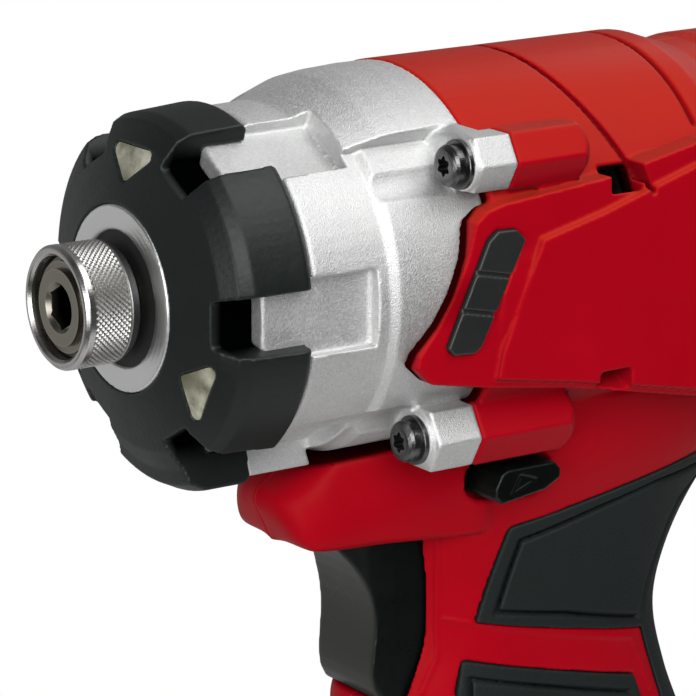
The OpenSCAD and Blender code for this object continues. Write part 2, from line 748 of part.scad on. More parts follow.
// Keel of the case over the lamp leads, and the bumper's front cone at a given radius
keel_r = bottom_lobe_r - 1;
keel_end = lobe_end + 12;
function cone_x(r) = nose_face + cone_slope * (r - nose_r);
module bumper_ring() {
    inner = nose_r + seat_gap;
    lip = case_seat_r + seat_gap;
    revolve([[inner, cone_x(inner)], [cone_r, cone_x(cone_r)], [lobe_r - 1.6, cone_x(cone_r) + 1.9],
        [lobe_r - 0.6, cone_x(cone_r) + 4], [lobe_r, lobe_end - 1], [lobe_r - 0.8, lobe_end], [lip, lobe_end],
        [lip, flange_x], [inner, flange_x]]);
}
module bottom_lobe() {
    front = cone_x(cone_r);
    root = cone_r + 1;
    seat = (case_seat_r + lobe_r) / 2;
    end = lobe_end - 0.2;
    at_clock(180) intersection() {
        revolve([[root, front + 1.3], [bottom_lobe_r - 1.4, front + 3], [bottom_lobe_r, front + 6],
            [bottom_lobe_r, end - 1], [bottom_lobe_r - 1, end], [seat, end], [seat, front + 5]]);
        block(0, far, -bottom_lobe_half, bottom_lobe_half, root / 2, far);
    }
}
module lens_shape(grow, x0, x1) {
    half = lens_half - lens_corner;
    along(x0) linear_extrude(height = x1 - x0) hull() {
        for (y = [-half, half]) translate([lens_corner - lens_outer, y]) circle(lens_corner + grow, $fn = 24);
        translate([-lens_inner - lens_corner, 0]) circle(lens_corner + grow, $fn = 24);
    }
}
module bumper_notch() {
    low = notch_floor_w / 2;
    draft = (notch_w / 2 - low) / (lobe_r - notch_floor);
    top = bottom_lobe_r + 2;
    high = low + draft * (top - notch_floor);
    along(0) linear_extrude(height = lobe_end + 1)
        polygon([[-notch_floor, -low], [-notch_floor, low], [-top, high], [-top, -high]]);
}
board_x = nose_face + 4.9;
board_t = 1.2;
board_r = notch_floor - 1.3;
module nose_bumper() {
    color("#1b1b1d") tool() difference() {
        union() {
            bumper_ring();
            bottom_lobe();
        }
        for (a = [30 : 60 : 330]) at_clock(a) bumper_notch();
        for (a = [0 : 120 : 240]) at_clock(a) lens_shape(0, 0, board_x + 1);
        tube(board_x, flange_x + 1, board_r + seat_gap, nose_r + 1.6);
    }
}
module lamp_lenses() {
    rim = 0.25;
    color("ivory") tool() intersection() {
        for (a = [0 : 120 : 240]) at_clock(a) lens_shape(-seat_gap, 0, board_x);
        revolve([[nose_r, cone_x(nose_r) + rim], [cone_r + 2, cone_x(cone_r + 2) + rim], [cone_r + 2, board_x],
            [nose_r, board_x]]);
    }
}
module lamp_board() {
    color("darkgreen") tool() tube(board_x, board_x + board_t, board_r, nose_r + 1.6 + seat_gap);
}
module nose_seal() {
    color("#161617") tool() tube(nose_face + 0.5, bush_front, seal_r, anvil_r + slide_gap);
}
module nose_bush() { color("peru") tool() tube(bush_front, bush_rear, bush_r, journal_r + run_gap); }
module thrust_washer() {
    color("dimgray") tool() tube(bush_rear, bush_rear + thrust_t, journal_r + 5, journal_r + slide_gap);
}

clip_t = 0.8;
ring_x = tip_setback + 0.9;
ring_seat_r = anvil_r - 0.6;
hub_r = 11;
pilot_r = 4;
lock_x = shoulder_x + lock_ball_r;
lock_r = anvil_r - lock_ball_r;
spring_front = ring_x + clip_t + 0.7;
module anvil() {
    hex_r = (bit_flats / 2 + run_gap) / cos(30);
    color("#6b6258") tool() difference() {
        union() {
            rod(tip_setback, bush_front, anvil_r);
            rod(bush_front, ear_front + 1, journal_r);
            rod(ear_front, ear_rear, hub_r);
            block(ear_front, ear_rear, -ear_w / 2, ear_w / 2, -ear_reach, ear_reach);
        }
        along(0) cylinder(h = tip_setback + socket_depth, r = hex_r, $fn = 6);
        along(tip_setback - 0.01) cylinder(h = 0.7, r1 = hex_r + 0.4, r2 = hex_r - 0.3, $fn = 48);
        tube(ring_x, ring_x + clip_t, anvil_r + 1, ring_seat_r);
        rod(ear_front + 1.6, far, pilot_r + run_gap);
        cross_rod(lock_x, 0, -far, far, lock_ball_r + seat_gap);
    }
}
module locking_balls() {
    color("lightsteelblue") tool() both_sides() translate([lock_x, -lock_r, 0]) sphere(lock_ball_r, $fn = 48);
}
module chuck_washer() {
    color("gray") tool() tube(ring_x + clip_t, spring_front, sleeve_r - sleeve_wall - slide_gap, anvil_r);
}
module retaining_ring() { color("#3a3a3c") tool() tube(ring_x, ring_x + clip_t, anvil_r + 1.2, ring_seat_r); }
module sleeve_spring() {
    color("gray") tool() along(spring_front)
        coil((anvil_r + sleeve_r - sleeve_wall) / 2, sleeve_wire_r, shoulder_x - spring_front,
            (shoulder_x - spring_front - sleeve_travel) / (2 * sleeve_wire_r));
}
module chuck_sleeve() {
    bore = sleeve_r - sleeve_wall;
    collar_r = sleeve_r - 0.7;
    collar = sleeve_length - 1.7;
    color("silver") tool() revolve([[bore, 0], [sleeve_r - 0.8, 0], [sleeve_r, 0.8], [sleeve_r, collar],
        [collar_r, collar], [collar_r, sleeve_length - 0.6], [collar_r - 0.6, sleeve_length],
        [anvil_r + run_gap, sleeve_length], [anvil_r + run_gap, shoulder_x], [bore, shoulder_x]]);
}

cam_ball_x = hammer_front + 7.7;
cam_ball_at = cam_r - 0.4;
spring_pocket = 11;
spring_floor = hammer_front + 7.2;
module hammer() {
    lug_front = hammer_front - ear_t + 1.5;
    pocket_r = hammer_r - 3.2;
    color("#55565a") tool() difference() {
        union() {
            rod(hammer_front, hammer_rear, hammer_r);
            intersection() {
                rod(lug_front, hammer_front + 1, hammer_r);
                block(0, far, -far, far, -ear_w / 2, ear_w / 2);
            }
        }
        rod(0, hammer_front, hub_r + 0.8);
        rod(0, far, cam_r + run_gap);
        tube(spring_floor, far, pocket_r, spring_pocket);
        for (a = [0, 180]) at_clock(a) translate([0, 0, cam_ball_at])
            rod(0, cam_ball_x + cam_ball_r + slide_gap, cam_ball_r + 0.2);
    }
}
module hammer_spring() {
    mean = (spring_pocket + hammer_r - 3.2) / 2;
    color("#8b8d90") tool() along(spring_floor)
        coil(mean, hammer_wire_r, carrier_front - washer_t - spring_floor, 3.5);
}
module spring_washer() {
    color("gray") tool() tube(carrier_front - washer_t, carrier_front, hammer_r - 4, cam_r + run_gap);
}
module cam_balls() {
    color("lightsteelblue") tool() for (s = [-1, 1])
        translate([cam_ball_x, 0, s * cam_ball_at]) sphere(cam_ball_r, $fn = 48);
}
carrier_r = gear_centre + pin_r + 2.4;
sun_tip_r = gear_module * (sun_teeth / 2 + 1);
post_r = 3;
module cam_shaft() {
    color("#77797c") tool() difference() {
        union() {
            rod(ear_front + 2, ear_rear + 1, pilot_r);
            rod(ear_rear + 0.5, carrier_front + 1, cam_r);
            rod(carrier_front, carrier_front + carrier_t, carrier_r);
            rod(rear_disc_x, rear_disc_x + rear_disc_t, carrier_r);
            for (k = [0 : planet_count - 1]) along(carrier_front + 1) rotate(planet_place(k) + 60)
                translate([gear_centre + 1, 0, 0])
                    cylinder(h = rear_disc_x - carrier_front, r = post_r, $fn = small_fn);
        }
        rod(rear_disc_x - 0.1, far, sun_tip_r + 0.9);
        for (k = [0 : planet_count - 1]) along(carrier_front + 0.6) rotate(planet_place(k))
            translate([gear_centre, 0, 0]) cylinder(h = far, r = pin_r, $fn = 48);
        for (s = [-1, 1]) translate([cam_ball_x, 0, s * cam_ball_at]) sphere(cam_ball_r + run_gap, $fn = 48);
    }
}
module planet_pins() {
    color("#b8bcc0") tool() for (k = [0 : planet_count - 1]) along(carrier_front + 0.6) rotate(planet_place(k))
        translate([gear_centre, 0, 0])
            cylinder(h = rear_disc_x + rear_disc_t - carrier_front - 0.6, r = pin_r, $fn = 48);
}
module spur(teeth, bore, length) {
    root = gear_module * (teeth / 2 - 1.25);
    tip = gear_module * (teeth / 2 + 1);
    difference() {
        linear_extrude(height = length) polygon(gear_outline(teeth, root, tip, -tooth_play));
        translate([0, 0, -1]) cylinder(h = length + 2, r = bore, $fn = 48);
    }
}
module planet_gear(k) {
    color("#8f8a80") tool() along(planet_front) rotate(planet_place(k)) translate([gear_centre, 0, 0])
        rotate(planet_turn(k) - planet_place(k)) spur(planet_teeth, pin_r + run_gap, gear_face);
}
module planet_gear_1() { planet_gear(0); }
module planet_gear_2() { planet_gear(1); }
module planet_gear_3() { planet_gear(2); }
module sun_gear() {
    color("#a09a8e") tool() along(planet_front + 0.3)
        spur(sun_teeth, shaft_r, rear_disc_x + rear_disc_t - planet_front);
}
module ring_gear() {
    length = rear_disc_x - ring_front;
    tip = gear_module * (ring_teeth / 2 - 1);
    color("#5d5f63") tool() along(ring_front) difference() {
        cylinder(h = length, r = ring_r, $fn = round_fn);
        translate([0, 0, -1]) linear_extrude(height = length + 2)
            rotate(180 / ring_teeth) polygon(gear_outline(ring_teeth, tip, ring_root_r, tooth_play));
    }
}
module gear_plate() {
    color("#4a4c50") tool() difference() {
        union() {
            rod(case_rear, plate_rear, cavity_r - seat_gap);
            tube(rear_disc_x, case_rear + 1, ring_r, ring_root_r);
        }
        rod(0, far, front_bearing_r - 2);
        rod(plate_rear - 3.4, far, front_bearing_r);
    }
}
module front_bearing() {
    color("#c0c4c8") tool() tube(plate_rear - 3.4, plate_rear, front_bearing_r, shaft_r + run_gap);
}
magnet_r = can_r - can_wall;
rotor_r = magnet_r - magnet_t - 0.5;
core_front = can_front + 6;
core_rear = can_rear - 12;
brush_x = core_rear + 3;
brush_l = 5;
brush_w = 4;
brush_top = commutator_r + 6;
module motor_can() {
    color("#7c7f84") tool() difference() {
        rod(can_front, can_rear, can_r);
        rod(can_front + can_wall, can_rear + 1, magnet_r);
        rod(can_front - 1, can_front + 3, rear_bearing_r);
    }
}
module motor_magnets() {
    color("#2b2b2e") tool() both_sides() intersection() {
        tube(core_front, core_rear, magnet_r, magnet_r - magnet_t);
        block(0, far, -far, -8, -far, far);
    }
}
module motor_cap() {
    color("#2f3033") tool() difference() {
        union() {
            rod(can_rear, motor_rear, can_r);
            for (s = [0, 180]) at_clock(s)
                block(brush_x, can_rear + 1, -brush_w, brush_w, brush_top, brush_top + 2.5);
        }
        rod(motor_rear - 3.5, far, rear_bearing_r);
        rod(0, far, shaft_r + 1);
    }
}
module carbon_brushes() {
    color("#1a1a1a") tool() for (s = [0, 180]) at_clock(s)
        block(brush_x, brush_x + brush_l, -brush_w / 2, brush_w / 2, commutator_r + seat_gap, brush_top);
}
module rear_bearing() {
    color("#c0c4c8") tool() tube(motor_rear - 3.5, motor_rear, rear_bearing_r, shaft_r + run_gap);
}
module rotor_core() {
    slots = 6;
    color("#6a6c70") tool() difference() {
        rod(core_front, core_rear, rotor_r);
        rod(0, far, shaft_r);
        for (k = [0 : slots - 1]) at_clock(360 * k / slots) block(0, far, -1.2, 1.2, rotor_r - 2.5, far);
        for (k = [0 : slots - 1]) at_clock(360 * k / slots) translate([0, 0, rotor_r - 5.2]) rod(0, far, 2.9);
    }
}
module motor_shaft() { color("#d0d3d6") tool() rod(planet_front + 0.3, motor_rear, shaft_r); }
module commutator() {
    color("#b5713a") tool() tube(brush_x - 1, brush_x + brush_l + 1.5, commutator_r, shaft_r);
}
module cooling_fan() {
    blades = 9;
    hub = shaft_r + 2.4;
    color("#3a3d40") tool() difference() {
        union() {
            rod(fan_front, fan_front + fan_w, hub);
            rod(fan_front + fan_w - 1, fan_front + fan_w, fan_r);
            for (k = [0 : blades - 1]) at_clock(360 * k / blades)
                block(fan_front, fan_front + fan_w, -0.6, 0.6, hub - 1, fan_r - 0.5);
        }
        rod(0, far, shaft_r);
    }
}

trigger_bottom = trigger_top - trigger_height;
trigger_rear = 73;
switch_front = trigger_rear + trigger_travel + 2;
switch_length = 27;
switch_rear = switch_front + switch_length;
switch_bottom = trigger_bottom - 1;
switch_half = 9.5;
switch_foot = 13;
wire_half = 11;
plunger_z = (trigger_top + trigger_bottom) / 2;
plunger_r = 2.6;
trigger_wire_r = 0.4;
trigger_turns = 6;
spring_seat = 6;
spring_mean = plunger_r + trigger_wire_r + slide_gap + 0.3;
plunger_end = switch_front + spring_seat + 4;
// Trigger face: a shallow scoop that sweeps forward into a hook at the top
trigger_lip = 1.6;
trigger_hook = 5.5;
hook_tip = trigger_front - trigger_lip - trigger_hook - 1;
function trigger_face(t) =
    trigger_front - trigger_lip * pow(cos(180 * t), 2) - trigger_hook * pow(1 - t, 6) + 3 * pow(t, 9);
module trigger_room() {
    block(0, trigger_rear + trigger_travel + 1, -trigger_half - slide_gap, trigger_half + slide_gap,
        trigger_bottom - slide_gap, trigger_top + slide_gap);
}
module both_edges() {
    for (m = [0, 1]) mirror([0, m]) children();
}
module trigger() {
    steps = 12;
    tip_half = trigger_half / 4;
    face_half = trigger_half - 1.5;
    face = [for (i = [0 : steps]) [trigger_face(i / steps), trigger_top - trigger_height * i / steps]];
    color("#1e1e20") tool() {
        intersection() {
            side_cut(concat(face, [[trigger_rear, trigger_bottom], [trigger_rear, trigger_top]]),
                -trigger_half, trigger_half);
            translate([0, 0, trigger_bottom - 1]) linear_extrude(height = trigger_height + 2) both_edges()
                polygon([[trigger_rear + 1, -1], [trigger_rear + 1, trigger_half],
                    [trigger_front + 3, trigger_half], [trigger_front - 1, face_half], [hook_tip, tip_half],
                    [hook_tip, -1]]);
        }
        rod_at(trigger_rear - 1, plunger_end, plunger_z, plunger_r);
    }
}
module rod_at(x0, x1, z, r) { translate([0, 0, z]) rod(x0, x1, r); }
module trigger_switch() {
    color("#2c2d30") tool() difference() {
        union() {
            block(switch_front, switch_rear, -switch_half, switch_half, switch_bottom, trigger_top - 1);
            block(switch_front + 4, switch_rear - 3, -switch_foot, switch_foot, switch_bottom,
                switch_bottom + 6);
        }
        rod_at(switch_front - 1, plunger_end + trigger_travel + 2, plunger_z, plunger_r + run_gap);
        rod_at(switch_front - 1, switch_front + spring_seat, plunger_z,
            spring_mean + trigger_wire_r + slide_gap);
    }
}
module trigger_spring() {
    color("gray") tool() translate([0, 0, plunger_z]) along(trigger_rear)
        coil(spring_mean, trigger_wire_r, switch_front + spring_seat - trigger_rear, trigger_turns);
}
module direction_selector() {
    half = grip_value(-selector_z, 3);
    l = selector_l / 2;
    h = selector_h / 2;
    corner = 1.2;
    slant = 3;
    outline = [[-l, 0], [corner - l, h - corner / 2], [2 * corner - l, h], [l - corner, h], [l, h - corner],
        [l, 0], [l - slant, corner - h], [corner - l, -h], [-l, corner - h]];
    color("#1f1f21") tool() translate([selector_x, 0, selector_z])
        side_cut(outline, -half - selector_out, half + selector_out - selector_travel);
}

// Foot and pack interface: rails, latch, terminals and clip nuts
rail_roof = deck_z + rail_height + slide_gap;
rail_front = pack_front + 16;
rail_rear = foot_rear - 5;
latch_x = pack_front + 10.4;
latch_t = 2.8;
latch_half = 9;
latch_bite = 2.4;
blade_x = nose_reach - 6;
blade_t = 0.8;
blade_length = 14;
blade_out = 10;
blade_spots = [-8, 0, 8];
contact_half = 12;
clip_x = foot_front + 14;
clip_z = foot_bottom + foot_height / 2;
clip_nut_r = 3.2;
button_half = 11;
button_depth = 8;
button_base = deck_z - 11.5;
release_wire_r = 0.4;
release_turns = 3;
release_solid = 3;
button_floor = button_base - release_travel - release_solid;
module blades() {
    for (y = blade_spots)
        block(blade_x, blade_x + blade_length, y - blade_t / 2, y + blade_t / 2, deck_z + 2.5, rail_roof - 1);
}
module terminal_block() {
    color("#2a2b2e") tool() difference() {
        block(blade_x + blade_out, rail_rear - 6, -contact_half, contact_half, deck_z + 1.2, rail_roof);
        blades();
    }
}
module terminal_blades() {
    color("#c9b27c") tool() blades();
}
module clip_nuts() {
    color("goldenrod") tool() both_sides() difference() {
        cross_rod(clip_x, clip_z, -foot_half, clip_depth - foot_half, clip_nut_r);
        translate([clip_x, 0, clip_z]) rotate([90, 0, 0]) cylinder(h = far, r = clip_thread_r, $fn = 48);
    }
}
module pack_shape(inset, z0, z1) {
    rounded_plate(pack_front + inset, pack_rear - inset, pack_half - inset, z0, z1, corner_r - inset);
}
module battery_tub() {
    room_half = button_half + slide_gap + pack_wall;
    color("#242427") tool() difference() {
        pack_shape(0, base_z, base_z + pack_split);
        difference() {
            pack_shape(pack_wall, base_z + pack_wall, 0);
            block(0, pack_front + button_depth + pack_wall, -room_half, room_half,
                button_floor - pack_wall, 0);
        }
        for (x = battery_screw_x, y = battery_screw_y) translate([x, y, base_z - 1]) {
            cylinder(h = 4, r = screw_head_r + slide_gap, $fn = small_fn);
            cylinder(h = 20, r = screw_shank_r + seat_gap, $fn = small_fn);
        }
        button_room();
    }
    color("#242427") tool() for (x = battery_screw_x, y = battery_screw_y) difference() {
        translate([x, y, base_z + 2]) cylinder(h = pack_split - 2, r = pack_post_r, $fn = small_fn);
        translate([x, y, base_z]) cylinder(h = 3, r = screw_head_r + slide_gap, $fn = small_fn);
        translate([x, y, base_z]) cylinder(h = far, r = screw_shank_r + seat_gap, $fn = small_fn);
    }
}
module button_room() {
    block(0, pack_front + button_depth, -button_half - slide_gap, button_half + slide_gap, button_floor, far);
    block(0, latch_x + latch_t + slide_gap, -latch_half - slide_gap, latch_half + slide_gap,
        deck_z - 3 - release_travel - slide_gap, far);
}
pack_post_r = 3.6;
pack_post_in = pack_wall + pack_post_r + 0.5;
cell_gap = 0.5;
battery_screw_x = [pack_front + pack_post_in, pack_rear - pack_post_in];
battery_screw_y = [-pack_half + 7, pack_half - 7];
module battery_top() {
    split_z = base_z + pack_split;
    color("#2a2a2d") tool() difference() {
        union() {
            difference() {
                pack_shape(0, split_z, deck_z);
                difference() {
                    pack_shape(pack_wall, split_z - 1, deck_z - pack_wall);
                    block(0, latch_x + latch_t + 3, -button_half - 3, button_half + 3, -far, far);
                }
            }
            for (x = battery_screw_x, y = battery_screw_y)
                translate([x, y, split_z]) cylinder(h = deck_z - split_z - 1, r = pack_post_r, $fn = small_fn);
            both_sides() block(rail_front, rail_rear, -rail_neck, -contact_half - 2.5, deck_z - 1,
                deck_z + rail_height);
            both_sides() block(rail_front, rail_rear, -rail_half, -rail_neck + 1,
                deck_z + rail_height - rail_t + slide_gap, deck_z + rail_height);
        }
        button_room();
        for (x = battery_screw_x, y = battery_screw_y)
            translate([x, y, split_z - 1]) cylinder(h = 9, r = screw_shank_r + run_gap, $fn = small_fn);
    }
}
module battery_cells() {
    pitch = 2 * cell_r + cell_gap;
    count = floor((pack_length - 2 * (pack_post_in + pack_post_r) + cell_gap) / pitch);
    half = pack_half - pack_wall - cell_end_gap;
    color("#3f6f8f") tool() for (k = [0 : count - 1])
        cross_rod(nose_reach + (k - (count - 1) / 2) * pitch, base_z + pack_wall + cell_r, -half, half,
            cell_r);
}
module battery_contacts() {
    color("#1d1d20") tool() difference() {
        block(blade_x - blade_length, blade_x + blade_out - 1.5, -contact_half, contact_half, deck_z,
            deck_z + rail_height - 0.4);
        for (y = blade_spots) block(blade_x - 1, far, y - blade_t - 0.2, y + blade_t + 0.2, deck_z + 1.8, far);
    }
}
module release_button() {
    color("#b3261e") tool() {
        block(pack_front - 0.8, pack_front + button_depth - slide_gap, -button_half, button_half, button_base,
            deck_z - 0.6);
        block(pack_front + 5, latch_x + latch_t, -latch_half, latch_half, deck_z - 3, deck_z - 0.6);
        block(latch_x, latch_x + latch_t, -latch_half, latch_half, deck_z - 1, rail_roof + latch_bite);
    }
}
module release_spring() {
    color("gray") tool() translate([pack_front + button_depth / 2, 0, button_floor])
        coil(2.4, release_wire_r, release_travel + release_solid, release_turns);
}
module battery_screws() {
    color("#303033") tool() for (x = battery_screw_x, y = battery_screw_y) translate([x, y, base_z]) {
        translate([0, 0, 0.8]) cylinder(h = 2.2, r = screw_head_r, $fn = small_fn);
        translate([0, 0, 2]) cylinder(h = pack_split + 4, r = screw_shank_r, $fn = small_fn);
    }
}

left_housing();
right_housing();
hammer_case();
nose_bumper();
lamp_lenses();
lamp_board();
nose_seal();
case_screws();
housing_screws();
left_side_pad();
right_side_pad();
left_upper_grip();
right_upper_grip();
left_lower_grip();
right_lower_grip();
nose_bush();
thrust_washer();
anvil();
locking_balls();
chuck_washer();
retaining_ring();
sleeve_spring();
chuck_sleeve();
hammer();
hammer_spring();
spring_washer();
cam_balls();
cam_shaft();
planet_gear_1();
planet_gear_2();
planet_gear_3();
planet_pins();
ring_gear();
sun_gear();
gear_plate();
motor_can();
motor_magnets();
motor_cap();
carbon_brushes();
front_bearing();
rear_bearing();
rotor_core();
motor_shaft();
commutator();
cooling_fan();
trigger();
trigger_switch();
trigger_spring();
direction_selector();
terminal_block();
terminal_blades();
clip_nuts();
battery_top();
battery_tub();
battery_cells();
battery_contacts();
release_button();
release_spring();
battery_screws();
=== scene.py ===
"""Looks of a cordless impact driver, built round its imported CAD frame."""

import json
import math

import bmesh
import bpy
import numpy as np
from bpy.props import FloatProperty, FloatVectorProperty, IntProperty, PointerProperty
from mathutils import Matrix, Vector


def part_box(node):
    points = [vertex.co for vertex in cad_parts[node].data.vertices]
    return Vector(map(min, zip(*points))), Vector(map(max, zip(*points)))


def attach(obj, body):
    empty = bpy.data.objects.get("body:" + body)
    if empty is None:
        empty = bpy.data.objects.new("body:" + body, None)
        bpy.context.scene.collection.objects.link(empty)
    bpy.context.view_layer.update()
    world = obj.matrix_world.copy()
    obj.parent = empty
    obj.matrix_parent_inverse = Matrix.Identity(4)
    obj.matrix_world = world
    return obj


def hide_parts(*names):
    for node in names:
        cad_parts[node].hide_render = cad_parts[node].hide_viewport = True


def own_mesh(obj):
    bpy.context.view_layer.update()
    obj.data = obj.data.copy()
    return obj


bl_info = {
    "name": "Impact driver looks",
    "version": (1, 0, 0),
    "blender": (4, 5, 0),
    "location": "3D View > Sidebar > Driver",
    "description": "Moulded, cast and machined finishes for a cordless impact driver",
    "category": "Object",
}

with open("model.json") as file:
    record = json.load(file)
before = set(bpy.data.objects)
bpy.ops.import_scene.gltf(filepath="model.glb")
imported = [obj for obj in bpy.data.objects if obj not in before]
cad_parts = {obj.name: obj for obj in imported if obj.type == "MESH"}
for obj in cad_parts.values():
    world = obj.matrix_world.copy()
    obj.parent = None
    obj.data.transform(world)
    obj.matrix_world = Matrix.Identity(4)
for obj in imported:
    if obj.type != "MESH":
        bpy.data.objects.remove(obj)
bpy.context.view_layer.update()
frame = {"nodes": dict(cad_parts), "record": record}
MM = 0.001
SLEEVE_LOW, SLEEVE_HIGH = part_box("chuck_sleeve")
SPINDLE = (SLEEVE_LOW.z + SLEEVE_HIGH.z) / 2
NOSE = SLEEVE_LOW.x
BIT_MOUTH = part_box("anvil")[0].x - NOSE
ORIGIN = np.array([NOSE, 0, SPINDLE])

# Handle sections as in the part: drop below the spindle, front, back, half width (mm)
HANDLE = np.array([
    [22, 64, 141, 25.5], [34, 61, 131, 22.8], [45, 61, 122.5, 19.2], [56, 61.5, 117, 17.2],
    [66, 60.5, 115, 16.6], [78, 55.5, 118, 16.8], [92, 60.5, 123.5, 17.2], [112, 68.5, 128.5, 17.4],
    [130, 71, 133, 19],
], float)
HANDLE_POWER = 2.7
# Inner panels of the grip rubber, along the tool and up from the spindle (mm)
UPPER_PANEL = [
    (77.7, -47.1), (74.4, -59.5), (88.8, -62.1), (106.4, -66.5), (109.9, -56.1), (113.5, -46),
    (122, -38.8), (114.2, -39.6), (105.5, -40.6), (93, -43.4),
]
LOWER_PANEL = [
    (69.7, -70.7), (87.3, -75.1), (103.8, -79.3), (111, -113), (84, -113), (74.8, -96), (69.4, -79),
]
# Thin ridges between the grips and beside the trigger (mm)
BAND_LINE = [(66.5, -60.2), (71.8, -61.4), (87.1, -65.3), (104.4, -69.7), (105.5, -72.1), (109, -79.7)]
GUARD_LINE = [
    (65, -46), (65.3, -49.7), (65.6, -56.9), (65.5, -65.5), (65.1, -67.2), (63.7, -69.9), (62.3, -72.5),
]
RIDGE_HALF, RIDGE_HEIGHT = 0.4, 0.3
# Chin under the case: where its rounding starts, and over what length it grows to full (mm)
CHIN_SEAM, CHIN_SEAM_FADE = 0.4, 2.5
CHIN_BACK, CHIN_BACK_FADE = 66, 14
CHIN_FLOOR, CHIN_FLOOR_FADE = -47.5, 1.5
CHIN_TOP, CHIN_TOP_FADE = -30, 3
CHIN_ROUNDS = 160
# Pocket rims of the grips in the housing: how near the handle's surface, and rounds of softening
RIM_REACH, RIM_ROUNDS = 2.5, 8
# Direction selector's arrow, about its middle, with the half width and depth of its line (mm)
ARROW = [(-3.4, -1.5), (-1.6, 1.5), (1.6, 0.4)]
ARROW_HALF, ARROW_DEPTH = 0.24, 0.2
# Grip rubber's outer and inner skins, as insets from the handle's surface (mm)
GRIP_SKINS = (-0.4, 1.8)
# Voxel size of the smallest mouldings (mm), and limits of faces and triangles
SMALL_VOXEL = 0.22
FEWEST_FACES, MOST_TRIANGLES, FEWER_TRIANGLES = 100, 190000, 120000
# Lobed screw recess: lobes, and their depth as a share of its radius
RECESS_LOBES, LOBE_WAVE = 6, 0.14

# Places where a finish or its painted light and shade changes, along the tool, up from the spindle or as
# radii (mm)
LIT_TINT_FOOT = -20
BLADE_TOP = -46
CONE_SLOPE, CONE_START, LOBE_RADIUS = 2.86, -18, 29.3
NOTCH_DEPTHS = (1.5, 4.5)
VENTED_END, VENT_RADII = 108.6, (32.5, 31.6)
NOSE_RING_END = 11.6
KNURL_START, COLLAR_START = 1.75, 8.45
VALLEY_DEPTHS = (0.12, 0.34)
SOCKET_RADIUS, SOCKET_DEPTHS = 4.2, (0.5, 2.2)
# Rounding width for painted edge highlights and hollow shade; how dark the painted hollow shade is, as a
# share of colour
EDGE_BEVEL = {"Radius": 0.6 * MM}
DIMMED = 0.06

# Lights: place and size (m), all aimed at one place
LIGHTS = {
    "key": ((-0.42, -0.87, 0.7), 0.75),
    "top": ((0.3, -0.4, 1.0), 0.7),
    "front": ((-1.0, -0.4, 0.25), 0.6),
    "rim": ((0.8, 0.4, 0.75), 0.6),
}
LIGHT_AIM = Vector((-0.04, 0, 0.15))
FLOOR_RADIUS = 0.27
# Camera's place in tool millimetres
CAMERA_PLACE = [-303.2, -529.7, 151.0]


def setting(label, text, value, **kind):
    """A number that the panel shows."""
    return FloatProperty(name=label, description=text, default=value, **kind)


class DriverShape(bpy.types.PropertyGroup):
    """Sizes of the modelled detail"""

    voxel: setting("Moulding detail", "Voxel size of the softened mouldings", 0.36 * MM, unit="LENGTH")
    fine_voxel: setting("Fine detail", "Voxel size of small softened pieces", 0.32 * MM, unit="LENGTH")
    soften: IntProperty(name="Soften", description="Rounds of edge softening", default=1)
    groove: setting("Grip groove", "Depth of the line round the grip panels", 1.3 * MM, unit="LENGTH")
    groove_half: setting("Groove half width", "Half width of the grip line", 0.42 * MM, unit="LENGTH")
    knurl_columns: IntProperty(name="Knurl columns", description="Diamonds round the sleeve", default=64)
    knurl_rows: IntProperty(name="Knurl rows", description="Rows of diamonds along the sleeve", default=13)
    knurl_height: setting("Knurl height", "Height of a knurl diamond", 0.3 * MM, unit="LENGTH")


class DriverStage(bpy.types.PropertyGroup):
    """Light, floor and camera"""

    key: setting("Key light", "Power of the key light", 10.2, unit="POWER")
    top: setting("Top light", "Power of the overhead light", 5.5, unit="POWER")
    front: setting("Front light", "Power of the light on the nose", 5.0, unit="POWER")
    rim: setting("Rim light", "Power of the light from behind", 1.2, unit="POWER")
    fill: setting("Fill", "Strength of the surrounding light", 0.12)
    azimuth: setting("Azimuth", "Camera angle round the tool", math.radians(-34.1), subtype="ANGLE")
    elevation: setting("Elevation", "Camera angle over the horizon", math.radians(14.5), subtype="ANGLE")
    lens: setting("Lens", "Focal length in millimetres", 206.9)


def tool_mm(co):
    """Row coordinates as millimetres back from the sleeve's front, sideways and up from the spindle."""
    return (co - ORIGIN) / MM


def row_m(points):
    """Tool coordinates back to the row frame."""
    return np.asarray(points, float) * MM + ORIGIN


def handle_value(drop, column):
    """One value of the handle's sections at the given drops, on the same smooth curve as in the part."""
    count = len(HANDLE)
    at = np.clip(np.searchsorted(HANDLE[:, 0], drop, side="right") - 1, 0, count - 2)
    after, before = np.minimum(np.arange(count) + 1, count - 1), np.maximum(np.arange(count) - 1, 0)
    lean = (HANDLE[after, column] - HANDLE[before, column]) / (HANDLE[after, 0] - HANDLE[before, 0])
    h = HANDLE[at + 1, 0] - HANDLE[at, 0]
    t = (drop - HANDLE[at, 0]) / h
    return (
        (2 * t**3 - 3 * t**2 + 1) * HANDLE[at, column]
        + (t**3 - 2 * t**2 + t) * h * lean[at]
        + (3 * t**2 - 2 * t**3) * HANDLE[at + 1, column]
        + (t**3 - t**2) * h * lean[at + 1]
    )


def ramp(past, fade):
    """Share that grows from 0 to 1 over a fade."""
    return np.clip(past / fade, 0, 1)


